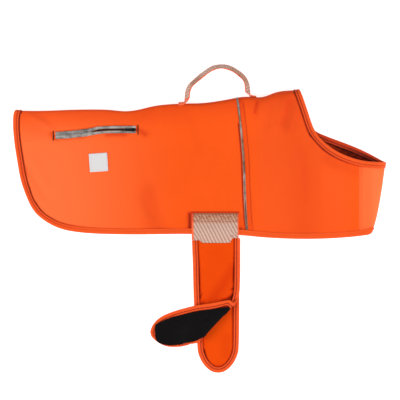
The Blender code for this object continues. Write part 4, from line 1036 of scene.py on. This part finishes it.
class JACKET_OT_zip(JacketOperator):
    """Fit the pocket zip: tapes, coil, slider, pull tab and the sewn box round it"""

    bl_idname = "jacket.pocket_zip"
    bl_label = "Pocket zip"

    def execute(self, context):
        for node, side in (("zip_tape_upper", 1), ("zip_tape_lower", -1)):
            self.lay_tape(node, side)
        self.make_coil()
        self.sew_box()
        for node in ("zip_slider", "zip_pull_tab"):
            self.round_off(node)
        return {"FINISHED"}

    def lay_tape(self, node, side):
        """A tape whose edge folds down to the coil, and parts from the other by the slider."""
        points, faces, up = fine_form(node, 3, 0.8)
        x, y, z = points.T
        away = distance(points, ZIP_LINE)[0]
        top = smoothstep(up[:, 2], 0.2, 0.7)
        closed = 1 - smoothstep(x, ZIP_OPEN_X - 12, ZIP_OPEN_X + 6)
        lip = 1 - smoothstep(away, 1.2, 3.4)
        ripple = np.sin(x * 0.42 + side) * np.sin(x * 0.173)
        sway = 0.5 * np.sin(x * 0.21 + 2 * side) + 0.3 * np.sin(x * 0.47)
        y -= side * (0.85 * closed - 0.45 * (1 - closed)) * lip
        y += top * sway * smoothstep(away, 2.0, 4.5) * 0.7
        z += (0.75 * closed + 0.15) * lip * top
        z += top * 0.35 * bell(away - 5.4, 0.9)
        z += 0.4 * top * ripple * smoothstep(away, 1.0, 3.0)
        # painted shadow where the tapes part over the pocket, and a fainter line along the closed
        # coil
        shade = 0.95 * (1 - closed) * bell(np.maximum(away - 0.9, 0), 0.8)
        shade += 0.3 * closed * bell(away, 0.8)
        piece(
            node.replace("tape", "band"), points * MM, faces, ["reflective"],
            node, "reflective_tape", shade=shade,
        )

    def make_coil(self):
        """Two rows of nylon turns that lock in the middle, each turn a bent tube."""
        pitch = chosen()[1].coil_pitch
        middle, ups = laid_on(node_tree("zip_coil"), smooth_line(ZIP_LINE, 200), step=pitch)
        ahead = unit(np.gradient(middle, axis=0))
        bend = np.radians(np.linspace(-70, 250, 9))
        turns = []
        for way in (1, -1):
            x = 0.25 * way * pitch / MM + COIL_LEAN * np.sin(bend)
            y = way * (COIL_OFF + COIL_HALF * np.cos(bend))
            path = np.column_stack([x, y, COIL_Z + COIL_RISE * np.sin(bend)]) * MM
            square = unit(np.cross(np.gradient(path, axis=0), (1.0, 0.0, 0.0)))
            turns.append(tube(path, square, COIL_RADIUS * MM, 5))
        quads = tube_faces(len(bend), 5)
        points, faces = copies(
            np.vstack(turns),
            np.vstack([quads, quads + len(turns[0])]),
            zip(middle, ahead, unit(np.cross(ups, ahead)), ups),
        )
        piece("zip_turns", points, faces, ["coil"], "zip_coil", "zip_plastic")

    def sew_box(self):
        """Topstitching round the tapes, and bar tacks at both ends."""
        tree = made_tree("back_cloth")
        line = smooth_line(ZIP_LINE, 80)
        ahead = unit(np.gradient(line, axis=0))
        side = ZIP_BOX_OFF * np.column_stack([-ahead[:, 1], ahead[:, 0]])
        tacks = []
        for (_, middle), x in zip((line[0], line[-1]), ZIP_BOX_X):
            for y in middle + np.arange(-8.5, 8.6, 0.85):
                tacks.append(laid_on(tree, [(x - 1.6, y), (x + 1.6, y)]))
        rows = [laid_on(tree, line + side), laid_on(tree, line - side)]
        sew("zip_topstitch", rows, "shell_thread")
        sew("zip_bar_tacks", tacks, "dark_thread", length=0.0025, gap=0.0003, width=0.001)

    def round_off(self, node):
        """Keeps the cast metal part and rounds its edges."""
        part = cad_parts[node]
        part.modifiers.new("weld", "WELD").merge_threshold = WELD
        bevel = part.modifiers.new("bevel", "BEVEL")
        bevel.width = 0.0003
        bevel.segments = 3
        bevel.limit_method = "ANGLE"
        bevel.angle_limit = math.radians(35)
        for slot in part.material_slots:
            slot.material = material("gunmetal")


class JACKET_OT_patch(JacketOperator):
    """Sew on the square woven patch, which stays bare"""

    bl_idname = "jacket.patch"
    bl_label = "Patch"

    def execute(self, context):
        points, faces, up = fine_form("label", 3, 0.9)
        cos, sin = math.cos(PATCH_TURN), math.sin(PATCH_TURN)
        turn = np.array(((cos, -sin), (sin, cos)))
        edge = 0.5 * PATCH_SIZE - np.abs((points[:, :2] - PATCH_CENTRE) @ turn).max(axis=1)
        rise = 0.3 * (1 - smoothstep(edge, 2.6, 3.4)) - 0.2 * bell(edge - 1.5, 0.5)
        rise += 0.25 * smoothstep(edge, 3.0, 14.0)
        points[:, 2] += smoothstep(up[:, 2], 0.3, 0.7) * rise
        piece("woven_patch", points * MM, faces, ["patch"], "label", "woven_patch")
        corners = np.array([(-1, -1), (1, -1), (1, 1), (-1, 1), (-1, -1)])
        corners = (0.5 * PATCH_SIZE - 1.5) * corners @ turn.T + PATCH_CENTRE
        tree = tree_of(points * MM, faces)
        sides = [laid_on(tree, [a, b]) for a, b in zip(corners[:-1], corners[1:])]
        sew("patch_stitches", sides, "patch_thread", length=0.0022, gap=0.0008, width=0.0006)
        return {"FINISHED"}


class JACKET_OT_handle(JacketOperator):
    """Make the carry handle and sew its feet to the spine"""

    bl_idname = "jacket.handle"
    bl_label = "Handle"

    def execute(self, context):
        points, faces, up = fine_form("handle", 2, 0.7)
        far = distance(points, HANDLE_LINE)[2]
        end = far.max() - far
        across = points[:, 2] - 0.5 * HANDLE_WIDE
        # its stripes run across it, and its sewn feet show the selvedge's orange
        feet = smoothstep(far, 12, 20) * smoothstep(end, 12, 20)
        edge = (0.5 * HANDLE_WIDE - np.abs(across)) * feet + 0.8 * (feet - 1)
        strip = np.column_stack([0.6 * across, 1.15 * far, edge]) * MM
        folds = 0.35 * np.sin(far * 0.21) + 0.25 * np.sin(far * 0.093 + 1.0)
        held = smoothstep(far, 25, 50) * smoothstep(end, 25, 50)
        points += (0.6 * folds * held)[:, None] * up
        # painted shade where the handle is pinched and bent
        shade = soft_shade(points, "handle")
        handle = piece(
            "carry_handle", points * MM, faces, ["webbing"],
            "handle", "striped_webbing", strip=strip, shade=shade,
        )
        tree = tree_of(points * MM, faces)
        rows = []
        for foot in HANDLE_FEET:
            for z in HANDLE_ROWS_Z:
                path, ups = [], []
                for x in np.linspace(*foot, 30):
                    hit, normal, _, _ = tree.ray_cast(Vector((x * MM, 0.4, z)), Vector((0, -1, 0)))
                    if hit is not None:
                        path.append(tuple(hit))
                        ups.append(tuple(normal))
                if len(path) > 10:
                    rows.append((np.array(path), np.array(ups)))
        trims = [sew("handle_stitches", rows, "shell_thread", length=0.0022, gap=0.0007)]
        return {"FINISHED"}


class JACKET_OT_webbings(JacketOperator):
    """Sew the striped elastic webbing to both sides of the belly"""

    bl_idname = "jacket.webbings"
    bl_label = "Webbings"

    def execute(self, context):
        for side, (low, high, top), levels in (("near", NEAR_WEBBING, 3), ("far", FAR_WEBBING, 4)):
            near = side == "near"
            node, name = side + "_webbing", side + "_elastic"
            points, faces, up = fine_form(node, levels, 0.75)
            x, y, z = points.T
            out = smoothstep(up[:, 2] if near else -up[:, 2], 0.3, 0.7)
            if near:
                doubled = 0.7 * smoothstep(y, top - 17.2, top - 16.0)
                z += out * (doubled - 0.4 * bell(y - (top - 2.2), 0.9))
            half = 0.5 * (high - low)
            across = x - 0.5 * (low + high)
            edge = np.minimum(half - np.abs(across), across + half - 1.8)
            strip = np.column_stack([-y, across, edge]) * MM
            # painted shade: a line along the top edge and at the doubled part's end, the doubled
            # part darker, and uneven shade a little below the top
            shade = 0.55 * bell(y - top, 1.6) + 0.2 * smoothstep(y, -7, -6)
            shade += 0.25 * bell(y - 3.0, 2.5) * (0.6 + 0.4 * np.sin(x * 0.5))
            shade += 0.3 * bell(y + 7.8, 0.9)
            if near:
                points = strap_end(points)
            made = piece(
                name, points * MM, faces, ["webbing"],
                node, "striped_webbing", strip=strip, shade=shade * out,
            )
            tree = tree_of(points * MM, faces)
            # a sewn box with a cross in each of its halves
            x0, x2, y0, y1 = low + 2.5, high - 2.5, top - 14.5, top - 2.4
            x1 = 0.5 * (x0 + x2)
            rows = [
                laid_on(tree, [a, b], "upper" if near else "under")
                for a, b in (
                    ((x0, y0), (x2, y0)), ((x2, y0), (x2, y1)),
                    ((x2, y1), (x0, y1)), ((x0, y1), (x0, y0)),
                    ((x0, y0), (x1, y1)), ((x0, y1), (x1, y0)),
                    ((x1, y0), (x2, y1)), ((x1, y1), (x2, y0)),
                )
            ]
            trims = [sew(name + "_stitches", rows, "thread", width=0.0009)]
        return {"FINISHED"}


class JACKET_OT_straps(JacketOperator):
    """Cut and bind the two belly straps and sew on their closing tapes"""

    bl_idname = "jacket.straps"
    bl_label = "Straps"

    def execute(self, context):
        for side, held, levels in (("near", "folded", 3), ("far", "laid", 4)):
            near_one = side == "near"
            node = side + "_strap"
            points, faces, up = fine_form(node, levels, 0.95)
            near = gaps(node_tree(node + "_binding"), points * MM)
            level = smoothstep(up[:, 2], 0.5, 0.9)
            depth = -0.45 * bell(near, BOUND_HALF)
            if near_one:
                folds = 0.8 * beside(points, STRAP_RIDGE, 9.0) - beside(points, STRAP_TROUGH, 8.0)
                depth += level * (1 - smoothstep(points[:, 2], 9.5, 12.0)) * folds
            points += depth[:, None] * up
            # painted shadow beside the binding, wider low on the near strap, and the painted shade
            # of the strap's own rows
            low = smoothstep(-points[:, 1], 50, 115) * near_one
            shade = (0.7 + 0.3 * low) * bell(np.maximum(near - 0.5, 0), 1.3 + 0.9 * low)
            shade = level * (shade + soft_shade(points, side))
            points = strap_end(points)
            strap = piece(
                node + "_cloth", points * MM, faces, ["strap"],
                node, "strap_shell", smooth=60.0, shade=shade,
            )
            tape, lines = binding(node + "_binding", (node,), "strap")
            trims = [tape, sew(node + "_stitches", lines, "dark_thread")]
        self.close_tape("near_hook_tape", "near_strap", 3, HOOK, 0.22)
        self.close_tape("far_loop_tape", "far_strap", 4, LOOP, 0.2)
        return {"FINISHED"}

    def lay_over_binding(self, points, faces):
        """Draws the hook tape's edge on the tongue out over the strap's binding, in metres."""
        strap, tape = node_tree("near_strap"), node_tree("near_strap_binding")
        both = node_tree("near_strap", "near_strap_binding")
        line = smooth_line(HOOK_EDGE, 160) * MM
        drawn = np.zeros_like(points)
        for i, p in enumerate(points):
            on, _, _, gap = strap.find_nearest(Vector(p))
            out = (Vector(p) - on) / gap
            away = tape.find_nearest(Vector(p))[3] / MM
            weight = float(smoothstep(out.z, -0.1, 0.35) * (1 - smoothstep(away, 1.8, 15.0)))
            if weight < 0.004 or p[0] > 0.058:
                continue
            to = line[np.linalg.norm(line - p[:2], axis=1).argmin()] - p[:2]
            size = np.linalg.norm(to)
            to *= max(size - max(away - 1.5, 0.0) * MM, 0.0) / max(size, 1e-9) * weight
            there = Vector((p[0] + to[0], p[1] + to[1], p[2]))
            hit = both.ray_cast(there + 0.012 * out, -out, 0.03)[0]
            if hit is not None:
                drawn[i] = hit + out * (0.001 + max(gap - 0.00055, 0.0)) - Vector(p)
        # the tape is stiff, so it evens out
        pairs = np.vstack([faces[:, [k, (k + 1) % 4]] for k in range(4)]).T
        for _ in range(10):
            total, count = np.zeros_like(drawn), np.zeros((len(points), 1))
            for a, b in (pairs, pairs[::-1]):
                np.add.at(total, a, drawn[b])
                np.add.at(count, a, 1)
            drawn = 0.5 * drawn + 0.5 * total / count
        # its tip stands a little off the binding
        tip = bell(np.linalg.norm(points[:, :2] / MM - HOOK_TIP, axis=1), 10.0)
        drawn[:, 2] += 1.4 * MM * tip
        return points + drawn

    def close_tape(self, node, strap, levels, path, radius):
        """A closing tape with its hooks or loops standing out of its free face."""
        slot = node.split("_", 1)[1]
        points, faces, _ = finer(cad_mesh(node), levels, 0.9)
        if node == "near_hook_tape":
            points = self.lay_over_binding(points, faces)
        base = piece(slot + "_base", points, faces, ["hook"], node, slot)
        across = face_normals(points, faces)
        out, size = unit(across), 0.5 * np.linalg.norm(across, axis=1)
        gap = gaps(node_tree(strap), points[faces].mean(axis=1))
        template = tube(np.array(path), np.array((0.0, 1.0, 0.0)), radius, 3) * MM
        pitch = chosen()[1].hook_pitch
        chance = np.random.default_rng(7)
        places, owed = [], 0.0
        for i in np.nonzero(gap > np.median(gap))[0]:
            owed += size[i] / pitch**2
            corners = points[faces[i]]
            while owed >= 1.0:
                owed -= 1.0
                u, v = chance.random(2)
                spot = (1 - u) * ((1 - v) * corners[0] + v * corners[3])
                spot += u * ((1 - v) * corners[1] + v * corners[2])
                turn = chance.uniform(0, 2 * math.pi)
                x = unit(np.cross((math.cos(turn), math.sin(turn), 0.1), out[i]))
                places.append((spot, x, np.cross(out[i], x), out[i]))
        points, faces = copies(template, tube_faces(len(path), 3), places)
        points[:, 2] = np.maximum(points[:, 2], LOWEST)
        pile = piece(slot + "_pile", points, faces, ["hook"], smooth=80.0)


class JACKET_OT_stage(JacketOperator):
    """Set the pale floor, the soft lights and the camera straight above"""

    bl_idname = "jacket.stage"
    bl_label = "Stage"

    def execute(self, context):
        scene = context.scene
        # backlit acrylic of a photographer's light table: plain white, with hardly a shadow
        white, _, _ = start_material(
            "white_acrylic_backlit",
            {
                "Roughness": 0.9,
                "Base Color": opaque([FLOOR_GREY] * 3),
                "Emission Color": opaque([1.0] * 3),
                "Emission Strength": FLOOR_GLOW,
            },
        )
        mesh = bpy.data.meshes.new("floor")
        ends = ((-1, -1), (1, -1), (1, 1), (-1, 1))
        corners = [(x * FLOOR_HALF, y * FLOOR_HALF, FLOOR) for x, y in ends]
        mesh.from_pydata(corners, [], [(0, 1, 2, 3)])
        mesh.materials.append(white)
        floor = bpy.data.objects.new("floor", mesh)
        scene.collection.objects.link(floor)
        for name, size, power, place in LIGHTS:
            light = bpy.data.lights.new(name, "AREA")
            light.size = size
            light.energy = power
            holder = bpy.data.objects.new(name, light)
            holder.location = place
            aim = Vector((0, 0.03, 0)) - Vector(place)
            holder.rotation_mode = "QUATERNION"
            holder.rotation_quaternion = aim.to_track_quat("-Z", "Y")
            scene.collection.objects.link(holder)
        world = bpy.data.worlds.new("white_room")
        world.use_nodes = True
        sky = world.node_tree.nodes["Background"]
        sky.inputs["Color"].default_value = (1, 1, 1, 1)
        sky.inputs["Strength"].default_value = WORLD_GLOW
        scene.world = world
        scene.view_settings.view_transform = "Standard"
        camera = bpy.data.cameras.new("camera")
        camera.sensor_width = SENSOR_WIDTH
        camera.lens = SENSOR_WIDTH * CAMERA_PLACE[2] / PICTURE_WIDTH
        holder = bpy.data.objects.new("camera", camera)
        holder.location = CAMERA_PLACE
        scene.collection.objects.link(holder)
        scene.camera = holder
        return {"FINISHED"}


STEPS = (
    JACKET_OT_body,
    JACKET_OT_zip,
    JACKET_OT_patch,
    JACKET_OT_handle,
    JACKET_OT_webbings,
    JACKET_OT_straps,
    JACKET_OT_stage,
)


class JACKET_PT_panel(bpy.types.Panel):
    """The jacket's pieces, in the order in which they are made"""

    bl_idname = "JACKET_PT_panel"
    bl_label = "Dog Jacket"
    bl_space_type = "VIEW_3D"
    bl_region_type = "UI"
    bl_category = "Jacket"

    def draw(self, context):
        for group in (context.scene.jacket_colours, context.scene.jacket_sizes):
            for name in group.__annotations__:
                self.layout.prop(group, name)
        for step in STEPS:
            self.layout.operator(step.bl_idname)


CLASSES = (JacketColours, JacketSizes, *STEPS, JACKET_PT_panel)


def register():
    for item in CLASSES:
        bpy.utils.register_class(item)
    bpy.types.Scene.jacket_colours = PointerProperty(type=JacketColours)
    bpy.types.Scene.jacket_sizes = PointerProperty(type=JacketSizes)


def unregister():
    del bpy.types.Scene.jacket_sizes
    del bpy.types.Scene.jacket_colours
    for item in reversed(CLASSES):
        bpy.utils.unregister_class(item)


def main():
    register()
    bpy.ops.jacket.body()
    bpy.ops.jacket.pocket_zip()
    bpy.ops.jacket.patch()
    bpy.ops.jacket.handle()
    bpy.ops.jacket.webbings()
    bpy.ops.jacket.straps()
    bpy.ops.jacket.stage()


if __name__ == "__main__":
    main()
